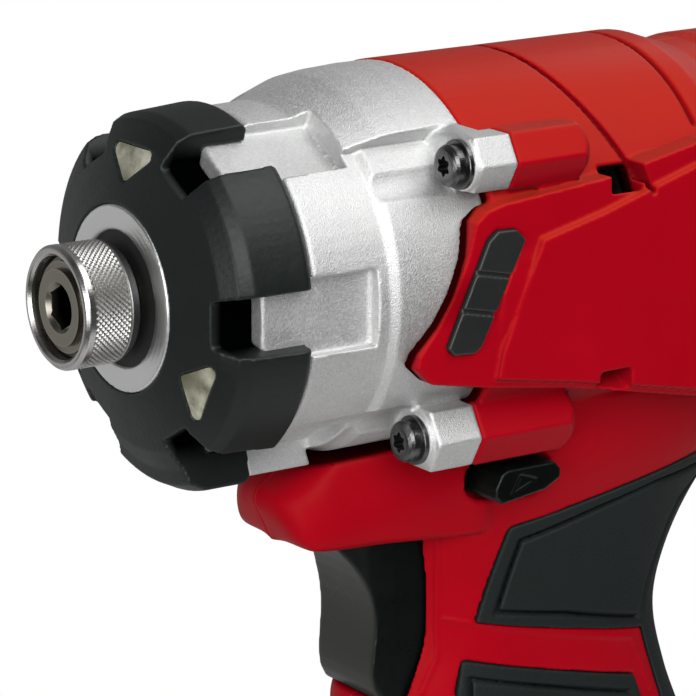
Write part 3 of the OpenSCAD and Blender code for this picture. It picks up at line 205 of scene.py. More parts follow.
def on_handle(points, inset):
    """Places on the handle's surface along the section's rays, and the distance to them."""
    drop = np.clip(-points[:, 2], HANDLE[0, 0], HANDLE[-1, 0])
    front = handle_value(drop, 1) + inset
    back = handle_value(drop, 2) - inset
    half = handle_value(drop, 3) - inset
    middle = (front + back) / 2
    u = (np.abs(points[:, 0] - middle) / ((back - front) / 2)) ** HANDLE_POWER
    u += (np.abs(points[:, 1]) / half) ** HANDLE_POWER
    scale = np.maximum(u, 1e-9) ** (-1 / HANDLE_POWER)
    target = points.copy()
    target[:, 0] = middle + (points[:, 0] - middle) * scale
    target[:, 1] = points[:, 1] * scale
    far = np.linalg.norm(target - points, axis=1)
    outside = (-points[:, 2] < HANDLE[0, 0]) | (-points[:, 2] > HANDLE[-1, 0])
    return target, np.where(outside, 1e3, far)


def smooth_handle(points, insets, reach):
    """Pulls points that lie close to the handle's surface onto it, which takes the facets out."""
    for inset in insets:
        target, far = on_handle(points, inset)
        share = ramp(reach - far, 0.4 * reach)[:, None]
        points = points + (target - points) * share * share * (3 - 2 * share)
    return points


def line_distance(points, line):
    """Distance of points in the side view from a row of straight pieces."""
    p = points[:, [0, 2]]
    best = np.full(len(p), 1e9)
    ring = np.array(line, float)
    for a, b in zip(ring[:-1], ring[1:]):
        d = b - a
        t = np.clip(((p - a) @ d) / (d @ d), 0, 1)
        best = np.minimum(best, np.linalg.norm(p - a - t[:, None] * d, axis=1))
    return best


def outline_distance(points, outline):
    """Distance of points in the side view from a closed outline."""
    return line_distance(points, [*outline, outline[0]])


def move_points(mesh, reshape):
    """Moves a mesh's points by a function of the mesh and of their tool coordinates."""
    co = np.zeros(len(mesh.vertices) * 3)
    mesh.vertices.foreach_get("co", co)
    moved = row_m(reshape(mesh, tool_mm(co.reshape(-1, 3))))
    mesh.vertices.foreach_set("co", moved.astype(np.float32).ravel())
    mesh.update()


def new_object(name, data):
    obj = bpy.data.objects.new(name, data)
    bpy.context.scene.collection.objects.link(obj)
    return obj


def settle(obj):
    """Replaces the object's mesh by what its modifiers make of it, and removes them."""
    graph = bpy.context.evaluated_depsgraph_get()
    mesh = bpy.data.meshes.new_from_object(obj.evaluated_get(graph))
    obj.modifiers.clear()
    old, obj.data = obj.data, mesh
    mesh.name = obj.name
    bpy.data.meshes.remove(old)
    return mesh


def modify(obj, kind, **settings):
    """Runs one modifier on an object and keeps the mesh that it makes."""
    made = obj.modifiers.new(kind, kind)
    for key, value in settings.items():
        setattr(made, key, value)
    return settle(obj)


def merged_copy(name, node):
    """A copy of a CAD node with its split vertices joined."""
    mesh = frame["nodes"][node].data.copy()
    mesh.materials.clear()
    shape = bmesh.new()
    shape.from_mesh(mesh)
    bmesh.ops.remove_doubles(shape, verts=shape.verts, dist=0.002 * MM)
    shape.to_mesh(mesh)
    shape.free()
    return new_object(name, mesh)


def blurred(mesh, points, shares, rounds):
    """Points moved towards the middle of their neighbours, each by its share, a number of times."""
    moving = np.flatnonzero(shares > 0.01)
    row_of = np.full(len(points), -1)
    row_of[moving] = np.arange(len(moving))
    ends = np.zeros(len(mesh.edges) * 2, np.int32)
    mesh.edges.foreach_get("vertices", ends)
    ends = ends.reshape(-1, 2)
    ends = np.concatenate([ends, ends[:, ::-1]])
    ends = ends[row_of[ends[:, 0]] >= 0]
    rows = row_of[ends[:, 0]]
    count = np.bincount(rows, minlength=len(moving))
    step = (0.5 * shares[moving] / count)[:, None]
    for _ in range(rounds):
        total = [np.bincount(rows, points[ends[:, 1], k], len(moving)) for k in range(3)]
        points[moving] += (np.stack(total, axis=1) - points[moving] * count[:, None]) * step
    return points


def softened(name, node, body, slot, voxel, rounds, reshape=None, most=MOST_TRIANGLES):
    """Places a CAD node as a moulding: remeshed, softened, reshaped, thinned to a triangle budget."""
    obj = merged_copy(name, node)
    mesh = modify(obj, "REMESH", mode="VOXEL", voxel_size=voxel)
    if len(mesh.polygons) < FEWEST_FACES:
        raise RuntimeError(f"{node} gave no moulding")
    mesh = modify(obj, "SMOOTH", factor=0.5, iterations=rounds)
    if reshape:
        move_points(mesh, reshape)
    share = most / (2 * len(mesh.polygons))
    if share < 1:
        mesh = modify(obj, "DECIMATE", ratio=share)
    mesh.shade_smooth()
    modify(obj, "WEIGHTED_NORMAL", mode="FACE_AREA")
    place(obj, body, slot, node)


def circle(steps):
    """Cosines and sines of angles spread evenly over a turn."""
    angles = [2 * math.pi * s / steps for s in range(steps)]
    return [(math.cos(a), math.sin(a)) for a in angles]


def tube(rings, around, closed=False):
    """Faces of a tube of rings of points, which is closed on itself or capped at its ends."""
    faces = []
    for k in range(rings if closed else rings - 1):
        after = (k + 1) % rings
        for s in range(around):
            n = (s + 1) % around
            faces.append((k * around + s, k * around + n, after * around + n, after * around + s))
    if not closed:
        faces += [tuple(range(around - 1, -1, -1)), tuple(range((rings - 1) * around, rings * around))]
    return faces


def lathe(name, profile):
    """A turned piece about the spindle from a closed profile of (length, radius) in millimetres."""
    steps = 128
    points = [(x, r * across, r * up) for across, up in circle(steps) for x, r in profile]
    return from_data(name, row_m(points), tube(steps, len(profile), closed=True))


def from_data(name, points, faces):
    mesh = bpy.data.meshes.new(name)
    mesh.from_pydata([tuple(p) for p in points], [], faces)
    shape = bmesh.new()
    shape.from_mesh(mesh)
    bmesh.ops.recalc_face_normals(shape, faces=shape.faces)
    shape.to_mesh(mesh)
    shape.free()
    mesh.validate()
    return new_object(name, mesh)


def paint(obj, slot):
    obj.data.materials.clear()
    obj.data.materials.append(finish_of(slot))


def place(obj, body, slot, *nodes):
    """Gives a finished piece its material and its body, and hides the CAD nodes that it stands for."""
    paint(obj, slot)
    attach(obj, body)
    if nodes:
        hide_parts(*nodes)
    return obj


# Shader and geometry node helpers

FLOAT, VECTOR, INTEGER = "NodeSocketFloat", "NodeSocketVector", "NodeSocketInt"
GEOMETRY, MATERIAL, OBJECT = "NodeSocketGeometry", "NodeSocketMaterial", "NodeSocketObject"


def feed(tree, node, values):
    """Links or fills a node's inputs, by name or number."""
    for key, value in values.items():
        if isinstance(value, bpy.types.NodeSocket):
            tree.links.new(value, node.inputs[key])
        else:
            node.inputs[key].default_value = value


def add(tree, kind, inputs=None, **props):
    """A node with its properties set and its inputs fed."""
    made = tree.nodes.new(kind)
    for key, value in props.items():
        setattr(made, key, value)
    feed(tree, made, inputs or {})
    return made


def math_node(tree, operation, a, b=0.0):
    return add(tree, "ShaderNodeMath", {0: a, 1: b}, operation=operation).outputs[0]


def times(tree, a, b):
    return math_node(tree, "MULTIPLY", a, b)


def plus(tree, a, b):
    return math_node(tree, "ADD", a, b)


def minus(tree, a, b):
    return math_node(tree, "SUBTRACT", a, b)


def dot(tree, a, b):
    return add(tree, "ShaderNodeVectorMath", {0: a, 1: b}, operation="DOT_PRODUCT").outputs["Value"]


def mix_colour(tree, share, a, b):
    return add(tree, "ShaderNodeMix", {0: share, 6: a, 7: b}, data_type="RGBA").outputs[2]


def mix_value(tree, share, a, b):
    return add(tree, "ShaderNodeMix", {0: share, 2: a, 3: b}, data_type="FLOAT").outputs[0]


def span(tree, value, low, high, to_low=0.0, to_high=1.0):
    """A value's range mapped to another, and held at its ends."""
    return add(tree, "ShaderNodeMapRange", {0: value, 1: low, 2: high, 3: to_low, 4: to_high}).outputs[0]


def object_place(tree):
    return add(tree, "ShaderNodeTexCoord").outputs["Object"]


def new_group(name, kind, inputs, outputs):
    """An empty node group with named sockets of given kinds; returns it with its two end nodes."""
    tree = bpy.data.node_groups.new(name, kind)
    for way, sockets in (("INPUT", inputs), ("OUTPUT", outputs)):
        for label, socket in sockets.items():
            tree.interface.new_socket(label, in_out=way, socket_type=socket)
    return tree, tree.nodes.new("NodeGroupInput"), tree.nodes.new("NodeGroupOutput")


def grain_group(name):
    """Fine moulded or cast grain: a value and a bumped normal."""
    inputs = {"Scale": FLOAT, "Height": FLOAT, "Depth": FLOAT}
    tree, start, end = new_group(name, "ShaderNodeTree", inputs, {"Value": FLOAT, "Normal": VECTOR})
    where, given = object_place(tree), start.outputs
    fine = add(tree, "ShaderNodeTexNoise", {"Vector": where, "Scale": given["Scale"], "Detail": 3.0})
    cells = add(tree, "ShaderNodeTexVoronoi", {"Vector": where, "Scale": given["Scale"]})
    mixed = plus(tree, fine.outputs[0], times(tree, cells.outputs[0], 0.6))
    relief = {"Strength": given["Height"], "Distance": given["Depth"], "Height": mixed}
    bump = add(tree, "ShaderNodeBump", relief)
    feed(tree, end, {"Value": span(tree, mixed, 0.3, 1.1), "Normal": bump.outputs[0]})
    return tree


def cloud_group(name):
    """Slow unevenness of a surface, for small shifts of colour and gloss."""
    tree, start, end = new_group(name, "ShaderNodeTree", {"Scale": FLOAT}, {"Value": FLOAT})
    noise = {"Vector": object_place(tree), "Scale": start.outputs["Scale"], "Detail": 5.0, "Roughness": 0.6}
    slow = add(tree, "ShaderNodeTexNoise", noise).outputs[0]
    feed(tree, end, {"Value": span(tree, slow, 0.3, 0.7)})
    return tree


def edge_group(name):
    """Masks of raised edges, for painted highlights, and of hollows, for painted shade."""
    outputs = {"Mask": FLOAT, "Hollow": FLOAT}
    tree, start, end = new_group(name, "ShaderNodeTree", {"Radius": FLOAT}, outputs)
    here = add(tree, "ShaderNodeNewGeometry").outputs
    rounded = add(tree, "ShaderNodeBevel", {"Radius": start.outputs["Radius"]}, samples=4).outputs[0]
    bend = span(tree, dot(tree, rounded, here["Normal"]), 0.985, 0.86)
    raised = span(tree, here["Pointiness"], 0.5, 0.53)
    sunk = span(tree, here["Pointiness"], 0.5, 0.47)
    deep = span(tree, here["Pointiness"], 0.455, 0.4)
    hollow = math_node(tree, "MAXIMUM", times(tree, bend, sunk), deep)
    feed(tree, end, {"Mask": times(tree, bend, raised), "Hollow": hollow})
    return tree


def turning_group(name):
    """Lathe marks round the spindle: radius, place along the tool, and a fine ringed normal."""
    outputs = {"Radius": FLOAT, "Along": FLOAT, "Normal": VECTOR}
    tree, start, end = new_group(name, "ShaderNodeTree", {"Pitch": FLOAT, "Height": FLOAT}, outputs)
    x, y, z = add(tree, "ShaderNodeSeparateXYZ", {0: object_place(tree)}).outputs
    up = minus(tree, z, SPINDLE)
    radius = math_node(tree, "SQRT", plus(tree, times(tree, y, y), times(tree, up, up)))
    along = minus(tree, x, NOSE)
    line = math_node(tree, "SINE", times(tree, plus(tree, radius, along), start.outputs["Pitch"]))
    relief = {"Strength": start.outputs["Height"], "Distance": 0.05 * MM, "Height": line}
    bump = add(tree, "ShaderNodeBump", relief)
    feed(tree, end, {"Radius": radius, "Along": along, "Normal": bump.outputs[0]})
    return tree


def group_of(name):
    """A shared node group, made on its first use."""
    return bpy.data.node_groups.get(name) or GROUPS[name](name)


def use(tree, name, inputs=None):
    """The outputs of a shared shader group."""
    return add(tree, "ShaderNodeGroup", inputs, node_tree=group_of(name)).outputs


def new_material(name, metallic, extra=None):
    made = bpy.data.materials.new(name)
    made.use_nodes = True
    tree = made.node_tree
    shader = tree.nodes["Principled BSDF"]
    feed(tree, shader, {"Metallic": metallic, **(extra or {})})
    return made, tree, shader


def shades(colour, darker, lighter):
    """A colour with a darker and a lighter neighbour."""
    return [tuple(min(1.0, c * k) for c in colour) + (1.0,) for k in (darker, 1.0, lighter)]


def facing(tree, way):
    """How far a surface faces a way, from -1 to 1."""
    return dot(tree, add(tree, "ShaderNodeNewGeometry").outputs["Normal"], way)


def height(tree):
    """Height of a place over the floor."""
    return add(tree, "ShaderNodeSeparateXYZ", {0: object_place(tree)}).outputs[2]


def barrel_top(tree):
    """Share of a painted light tint that grows towards the top of the barrel, on faces turned up."""
    share = span(tree, height(tree), SPINDLE + LIT_TINT_FOOT * MM, SPINDLE)
    return times(tree, share, span(tree, facing(tree, (0, 0, 1)), 0.15, 0.85))


def blade_front(tree):
    """Share of a painted highlight on the front of the trigger's blade, which lies below the selector."""
    blade = math_node(tree, "LESS_THAN", height(tree), SPINDLE + BLADE_TOP * MM)
    return times(tree, blade, span(tree, facing(tree, (-1, 0, 0)), 0.72, 1.0))


def notch_shade(tree):
    """Share of shade in the bumper's notches, by the depth under its cone and its lobes."""
    marks = use(tree, "LatheMarks")
    line = {0: marks["Along"], 1: CONE_SLOPE, 2: CONE_START * MM}
    cone = add(tree, "ShaderNodeMath", line, operation="MULTIPLY_ADD").outputs[0]
    skin = math_node(tree, "MINIMUM", cone, LOBE_RADIUS * MM)
    return span(tree, minus(tree, skin, marks["Radius"]), *(d * MM for d in NOTCH_DEPTHS))


def vent_shade(tree):
    """Share of shade in the vents and lines of the barrel, by the depth under its skin."""
    marks = use(tree, "LatheMarks")
    barrel = math_node(tree, "LESS_THAN", marks["Along"], VENTED_END * MM)
    return times(tree, barrel, span(tree, marks["Radius"], *(r * MM for r in VENT_RADII)))


def moulded(name, colour, gloss, grain, edge, extra=None, faded=None, shade=None, bounce=None):
    """Plastic or rubber: slow clouds in its colour and gloss, fine grain, painted highlights on raised edges.

    It may have a function for the share of a painted light tint with that tint, a function for the share of
    painted shade, and its own colour for bounced light.
    """
    made, tree, shader = new_material(name, 0.0, extra)
    dark, base, light = shades(colour, 0.9, edge)
    clouds = use(tree, "SurfaceClouds", {"Scale": 60.0})["Value"]
    skin = use(tree, "SurfaceGrain", dict(zip(("Scale", "Height", "Depth"), grain)))
    edges = use(tree, "RaisedEdges", EDGE_BEVEL)
    tone = mix_colour(tree, clouds, dark, base)
    # Painted light: a lighter tint where the given function says, on the barrel's top or the trigger's front
    if faded:
        tone = mix_colour(tree, faded[0](tree), tone, (*faded[1], 1.0))
    # Painted highlights on raised edges
    tone = mix_colour(tree, times(tree, edges["Mask"], 0.7), tone, light)
    # Painted shade in hollows and where the shade function puts it
    dim = edges["Hollow"]
    if shade:
        dim = math_node(tree, "MAXIMUM", dim, shade(tree))
    tone = mix_colour(tree, dim, tone, (*(c * DIMMED for c in colour), 1.0))
    if bounce:
        seen = add(tree, "ShaderNodeLightPath").outputs["Is Camera Ray"]
        tone = mix_colour(tree, seen, (*bounce, 1.0), tone)
    # Where shade is painted, the specular reflection fades out too
    gleam = shader.inputs["Specular IOR Level"].default_value
    rough = plus(tree, span(tree, clouds, 0.0, 1.0, *gloss), times(tree, skin["Value"], 0.06))
    feed(tree, shader, {
        "Base Color": tone,
        "Specular IOR Level": span(tree, dim, 0.0, 1.0, gleam, 0.0),
        "Roughness": rough,
        "Normal": skin["Normal"],
    })
    return made


def machined(name, colour, gloss, pitch, relief, bore=0.0):
    """Turned or ground metal: lathe marks, slow clouds, painted highlights on edges, and painted shade inside
    a bore.
    """
    made, tree, shader = new_material(name, 1.0)
    dark, base, light = shades(colour, 0.85, 1.25)
    clouds = use(tree, "SurfaceClouds", {"Scale": 120.0})["Value"]
    marks = use(tree, "LatheMarks", {"Pitch": pitch, "Height": relief})
    tone = mix_colour(tree, clouds, dark, base)
    # Painted highlights on raised edges
    tone = mix_colour(tree, use(tree, "RaisedEdges", EDGE_BEVEL)["Mask"], tone, light)
    # Painted shade deep inside the bore, such as the anvil's hex socket
    depth = span(tree, marks["Along"], *(BIT_MOUTH + d * MM for d in SOCKET_DEPTHS))
    inside = times(tree, math_node(tree, "LESS_THAN", marks["Radius"], bore), depth)
    feed(tree, shader, {
        "Base Color": mix_colour(tree, inside, tone, (0.008, 0.008, 0.008, 1)),
        "Roughness": span(tree, clouds, 0.0, 1.0, *gloss),
        "Normal": marks["Normal"],
    })
    return made


def casting(name):
    """Blasted cast aluminium whose nose ring is turned flat and smooth."""
    made, tree, shader = new_material(name, 1.0)
    dark, base, light = shades((0.77, 0.775, 0.77), 0.58, 1.25)
    clouds = use(tree, "SurfaceClouds", {"Scale": 90.0})["Value"]
    skin = use(tree, "SurfaceGrain", {"Scale": 4500.0, "Height": 0.6, "Depth": 0.12 * MM})
    coarse = use(tree, "SurfaceGrain", {"Scale": 2000.0, "Height": 0.25, "Depth": 0.2 * MM})
    marks = use(tree, "LatheMarks", {"Pitch": 7000.0, "Height": 0.12})
    edges = use(tree, "RaisedEdges", EDGE_BEVEL)
    face = math_node(tree, "LESS_THAN", marks["Along"], NOSE_RING_END * MM)
    speckle = times(tree, skin["Value"], coarse["Value"])
    tone = mix_colour(tree, plus(tree, times(tree, speckle, 0.7), 0.3), dark, base)
    tone = mix_colour(tree, times(tree, clouds, 0.35), tone, base)
    # Painted highlights on raised edges, and painted shade in hollows
    tone = mix_colour(tree, times(tree, edges["Mask"], 0.5), tone, light)
    tone = mix_colour(tree, times(tree, edges["Hollow"], 0.8), tone, (0.1, 0.1, 0.1, 1))
    normals = {0: face, 4: skin["Normal"], 5: marks["Normal"]}
    feed(tree, shader, {
        "Base Color": mix_colour(tree, face, tone, base),
        "Roughness": mix_value(tree, face, span(tree, speckle, 0.0, 1.0, 0.52, 0.7), 0.36),
        "Normal": add(tree, "ShaderNodeMix", normals, data_type="VECTOR").outputs[1],
    })
    return made


def sleeve_finish(name):
    """Ground steel with painted shade in its knurl valleys and a browned collar behind them."""
    made, tree, shader = new_material(name, 1.0)
    clouds = use(tree, "SurfaceClouds", {"Scale": 300.0})["Value"]
    marks = use(tree, "LatheMarks", {"Pitch": 9000.0, "Height": 0.05})
    knurled = math_node(tree, "GREATER_THAN", marks["Along"], KNURL_START * MM)
    collar = math_node(tree, "GREATER_THAN", marks["Along"], COLLAR_START * MM)
    outer = (SLEEVE_HIGH.z - SLEEVE_LOW.z) / 2
    # Painted shade in the knurl's valleys, by depth under the sleeve's outer radius
    valley_shade = times(tree, knurled, span(tree, marks["Radius"], *(outer - d * MM for d in VALLEY_DEPTHS)))
    tone = mix_colour(tree, clouds, (0.45, 0.445, 0.43, 1), (0.56, 0.55, 0.53, 1))
    tone = mix_colour(tree, valley_shade, tone, (0.23, 0.23, 0.22, 1))
    rough = span(tree, clouds, 0.0, 1.0, 0.22, 0.34)
    feed(tree, shader, {
        "Base Color": mix_colour(tree, collar, tone, (0.07, 0.072, 0.07, 1)),
        "Roughness": plus(tree, rough, times(tree, knurled, 0.14)),
        "Normal": marks["Normal"],
    })
    return made


def lens_material(name):
    """Clear moulded lens over a small reflector whose glints are painted into its colour as wavy streaks."""
    clear = {"Transmission Weight": 0.3, "IOR": 1.49, "Roughness": 0.12}
    made, tree, shader = new_material(name, 0.0, clear)
    wave = {"Vector": object_place(tree), "Scale": 130.0, "Distortion": 3.0}
    # Painted reflection: glints of the reflector in wavy streaks
    streaks = add(tree, "ShaderNodeTexWave", wave).outputs["Fac"]
    glint = times(tree, streaks, use(tree, "SurfaceClouds", {"Scale": 200.0})["Value"])
    tone = mix_colour(tree, glint, (0.14, 0.135, 0.08, 1), (0.75, 0.74, 0.6, 1))
    feed(tree, shader, {"Base Color": tone})
    return made


# Each slot's finish: the function that makes it, and what that takes after the name
FINISHES = {
    "red_plastic": (
        moulded, (0.345, 0.001, 0.008), (0.32, 0.42), (1400.0, 0.1, 0.0001), 1.5,
        {"Specular IOR Level": 0.09, "Specular Tint": (1.0, 0.5, 0.3, 1.0)},
        # Painted light tint on the barrel's top; painted shade in its vents and lines
        (barrel_top, (0.38, 0.015, 0.008)), vent_shade, (0.14, 0.09, 0.09),
    ),
    "cast_aluminium": (casting,),
    "black_bumper": (
        moulded, (0.006, 0.0085, 0.008), (0.36, 0.46), (1200.0, 0.18, 0.00015), 8.0,
        {"Specular IOR Level": 0.3}, None, notch_shade,
    ),
    "clear_lens": (lens_material,),
    "green_board": (moulded, (0.02, 0.14, 0.05), (0.3, 0.4), (600.0, 0.1, 0.0001), 1.3),
    "seal_rubber": (moulded, (0.008, 0.008, 0.008), (0.55, 0.65), (1500.0, 0.2, 0.0001), 1.5),
    "black_screw": (machined, (0.13, 0.13, 0.132), (0.24, 0.38), 9000.0, 0.1),
    "grip_rubber": (
        moulded, (0.0095, 0.0135, 0.013), (0.5, 0.62), (1700.0, 0.35, 0.0002), 5.0,
        {"Specular IOR Level": 0.16},
    ),
    "black_plastic": (moulded, (0.012, 0.014, 0.013), (0.36, 0.48), (1300.0, 0.2, 0.00015), 6.0),
    "trigger_plastic": (
        moulded, (0.0012, 0.002, 0.0018), (0.22, 0.32), (1100.0, 0.06, 0.0001), 30.0,
        # Painted highlight on the front of the blade
        {"Specular IOR Level": 0.25}, (blade_front, (0.022, 0.024, 0.02)),
    ),
    "sleeve_steel": (sleeve_finish,),
    "dark_steel": (machined, (0.27, 0.25, 0.21), (0.24, 0.36), 8000.0, 0.1, SOCKET_RADIUS * MM),
    "bright_steel": (machined, (0.6, 0.61, 0.62), (0.2, 0.32), 8000.0, 0.1),
    "spring_steel": (machined, (0.42, 0.43, 0.45), (0.25, 0.35), 12000.0, 0.05),
    "bearing_bronze": (machined, (0.5, 0.32, 0.15), (0.3, 0.42), 8000.0, 0.1),
    "copper": (machined, (0.7, 0.36, 0.2), (0.25, 0.35), 8000.0, 0.1),
    "brass": (machined, (0.75, 0.57, 0.26), (0.22, 0.34), 8000.0, 0.1),
    "magnet": (moulded, (0.05, 0.05, 0.055), (0.5, 0.6), (900.0, 0.3, 0.0002), 1.4),
    "carbon": (moulded, (0.02, 0.02, 0.02), (0.55, 0.7), (900.0, 0.3, 0.0002), 1.4),
    "cell_wrap": (moulded, (0.05, 0.2, 0.42), (0.2, 0.3), (500.0, 0.05, 0.0001), 1.3),
    "release_red": (moulded, (0.46, 0.006, 0.010), (0.26, 0.36), (1300.0, 0.12, 0.0001), 1.35),
}


def colour_setting(label, slot):
    """A colour that the panel shows; its default is the one in the slot's finish."""
    given, text = FINISHES[slot][1], f"Colour of the {label.lower()}"
    return FloatVectorProperty(name=label, description=text, default=given, subtype="COLOR", min=0, max=1)


class DriverColours(bpy.types.PropertyGroup):
    """Colours of the mouldings, each under the name of its slot"""

    red_plastic: colour_setting("Housing halves", "red_plastic")
    black_bumper: colour_setting("Nose bumper", "black_bumper")
    grip_rubber: colour_setting("Grip rubber", "grip_rubber")
    trigger_plastic: colour_setting("Trigger and selector", "trigger_plastic")
    black_plastic: colour_setting("Pack and side pads", "black_plastic")
    release_red: colour_setting("Release button", "release_red")


def finish_of(slot):
    """The material of a slot, made once, in the panel's colour where the panel has one."""
    name = "finish_" + slot
    make, *given = FINISHES[slot]
    if slot in DriverColours.__annotations__:
        given[0] = tuple(getattr(bpy.context.scene.driver_colours, slot))
    return bpy.data.materials.get(name) or make(name, *given)


def on_points(tree, end, points, piece, turn, material):
    """Ends a geometry group with a piece on every point, made real and given a material."""
    euler = add(tree, "FunctionNodeEulerToRotation", {0: turn})
    spread = {"Points": points, "Instance": piece, "Rotation": euler.outputs[0]}
    repeats = add(tree, "GeometryNodeInstanceOnPoints", spread)
    real = add(tree, "GeometryNodeRealizeInstances", {0: repeats.outputs[0]})
    dressed = add(tree, "GeometryNodeSetMaterial", {"Geometry": real.outputs[0], "Material": material})
    feed(tree, end, {"Geometry": dressed.outputs[0]})
    return tree


def knurl_group(name):
    """Diamonds set in staggered rows round the spindle."""
    inputs = {
        "Geometry": GEOMETRY, "Rows": INTEGER, "Columns": INTEGER, "Pitch": FLOAT, "Radius": FLOAT,
        "Height": FLOAT, "Start": FLOAT, "Axis": FLOAT, "Material": MATERIAL,
    }
    tree, start, end = new_group(name, "GeometryNodeTree", inputs, {"Geometry": GEOMETRY})
    given = start.outputs
    line = add(tree, "GeometryNodeMeshLine", {"Count": times(tree, given["Rows"], given["Columns"])})
    index = add(tree, "GeometryNodeInputIndex").outputs[0]
    row = math_node(tree, "FLOOR", math_node(tree, "DIVIDE", plus(tree, index, 0.01), given["Columns"]))
    column = minus(tree, index, times(tree, row, given["Columns"]))
    shift = times(tree, math_node(tree, "MODULO", row, 2.0), 0.5)
    turned = times(tree, plus(tree, column, shift), 2 * math.pi)
    turn = math_node(tree, "DIVIDE", turned, given["Columns"])
    x = plus(tree, given["Start"], times(tree, row, given["Pitch"]))
    y = times(tree, math_node(tree, "COSINE", turn), given["Radius"])
    z = plus(tree, given["Axis"], times(tree, math_node(tree, "SINE", turn), given["Radius"]))
    spot = add(tree, "ShaderNodeCombineXYZ", {0: x, 1: y, 2: z})
    moved = {"Geometry": line.outputs[0], "Position": spot.outputs[0]}
    points = add(tree, "GeometryNodeSetPosition", moved)
    diamond = {
        "Vertices": 4, "Radius Top": 0.08 * MM, "Radius Bottom": given["Pitch"], "Depth": given["Height"],
    }
    cone = add(tree, "GeometryNodeMeshCone", diamond)
    lean = add(tree, "ShaderNodeCombineXYZ", {0: minus(tree, turn, math.pi / 2)})
    return on_points(tree, end, points.outputs[0], cone.outputs[0], lean.outputs[0], given["Material"])


def copies_group(name):
    """One object set on every point of a mesh, turned by a given angle."""
    inputs = {"Geometry": GEOMETRY, "Piece": OBJECT, "Turn": VECTOR, "Material": MATERIAL}
    tree, start, end = new_group(name, "GeometryNodeTree", inputs, {"Geometry": GEOMETRY})
    given = start.outputs
    piece = add(tree, "GeometryNodeObjectInfo", {"Object": given["Piece"]}).outputs["Geometry"]
    return on_points(tree, end, given["Geometry"], piece, given["Turn"], given["Material"])


GROUPS = {
    "SurfaceGrain": grain_group,
    "SurfaceClouds": cloud_group,
    "RaisedEdges": edge_group,
    "LatheMarks": turning_group,
    "KnurlDiamonds": knurl_group,
    "CopiesOnPoints": copies_group,
}


def run_nodes(obj, name, inputs):
    """Runs a shared geometry group on an object with the named inputs, and keeps the mesh."""
    made = obj.modifiers.new("Nodes", "NODES")
    made.node_group = group_of(name)
    for item in made.node_group.interface.items_tree:
        if item.item_type == "SOCKET" and item.in_out == "INPUT" and item.name in inputs:
            made[item.identifier] = inputs[item.name]
    mesh = settle(obj)
    if not mesh.polygons:
        raise RuntimeError(f"{obj.name} came out empty")
    return obj


def copies(name, piece, spots, turn, slot):
    """A piece repeated on the given places, as one mesh; the piece itself is removed."""
    obj = from_data(name, spots, [])
    run_nodes(obj, "CopiesOnPoints", {"Piece": piece, "Turn": turn, "Material": finish_of(slot)})
    bpy.data.objects.remove(piece)
    return obj


def joined(name, parts):
    """Several mesh objects as one."""
    shape = bmesh.new()
    for p in parts:
        shape.from_mesh(p.data)
        bpy.data.objects.remove(p)
    mesh = bpy.data.meshes.new(name)
    shape.to_mesh(mesh)
    shape.free()
    return new_object(name, mesh)


def solid_spots(node):
    """Boxes of the separate solids of a CAD node, as pairs of corners."""
    obj = merged_copy("spots_of_" + node, node)
    shape = bmesh.new()
    shape.from_mesh(obj.data)
    bpy.data.objects.remove(obj)
    left, found = set(shape.verts), []
    while left:
        todo, group = [left.pop()], []
        while todo:
            v = todo.pop()
            group.append(v.co.copy())
            for e in v.link_edges:
                o = e.other_vert(v)
                if o in left:
                    left.remove(o)
                    todo.append(o)
        co = np.array(group)
        found.append((co.min(0), co.max(0)))
    shape.free()
    return sorted(found, key=lambda f: tuple(np.round(f[0], 6)))


def screw_piece(name, profile, recess_r, recess_depth):
    """A screw along +Z with its head's top at height zero and a lobed recess, from (height, radius) in mm."""
    steps, hole_steps = 48, 72
    points = [(r * across, r * up, h) for h, r in profile for across, up in circle(steps)]
    obj = from_data(name, np.array(points) * MM, tube(len(profile), steps))
    ring = []
    for s in range(hole_steps):
        a = 2 * math.pi * s / hole_steps
        r = recess_r * (1 - LOBE_WAVE + LOBE_WAVE * math.cos(RECESS_LOBES * a))
        ring.append((r * math.cos(a), r * math.sin(a)))
    hole = [(x, y, z) for z in (1.0, -recess_depth) for x, y in ring]
    cutter = from_data(name + "_recess", np.array(hole) * MM, tube(2, hole_steps))
    modify(obj, "BOOLEAN", operation="DIFFERENCE", solver="EXACT", object=cutter)
    bpy.data.objects.remove(cutter)
    return obj


def coil_piece(name, node, turns, wire, axis):
    """A round-wire spring that fills the CAD spring's box, wound along the given axis."""
    low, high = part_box(node)
    middle = (low + high) / 2
    side = 1 if axis != 1 else 0
    mean = (high[side] - low[side]) / 2 - wire
    length = high[axis] - low[axis] - 2 * wire
    others = [k for k in range(3) if k != axis]
    around, per_turn = 10, 40
    steps = int(turns * per_turn)
    points = []
    for i in range(steps + 1):
        a = 2 * math.pi * i / per_turn
        for out, on in circle(around):
            r = mean + wire * out
            p = [0.0, 0.0, 0.0]
            p[axis] = low[axis] + wire + length * i / steps + wire * on
            p[others[0]] = middle[others[0]] + r * math.cos(a)
            p[others[1]] = middle[others[1]] + r * math.sin(a)
            points.append(p)
    obj = from_data(name, points, tube(steps + 1, around))
    obj.data.shade_smooth()
    return obj


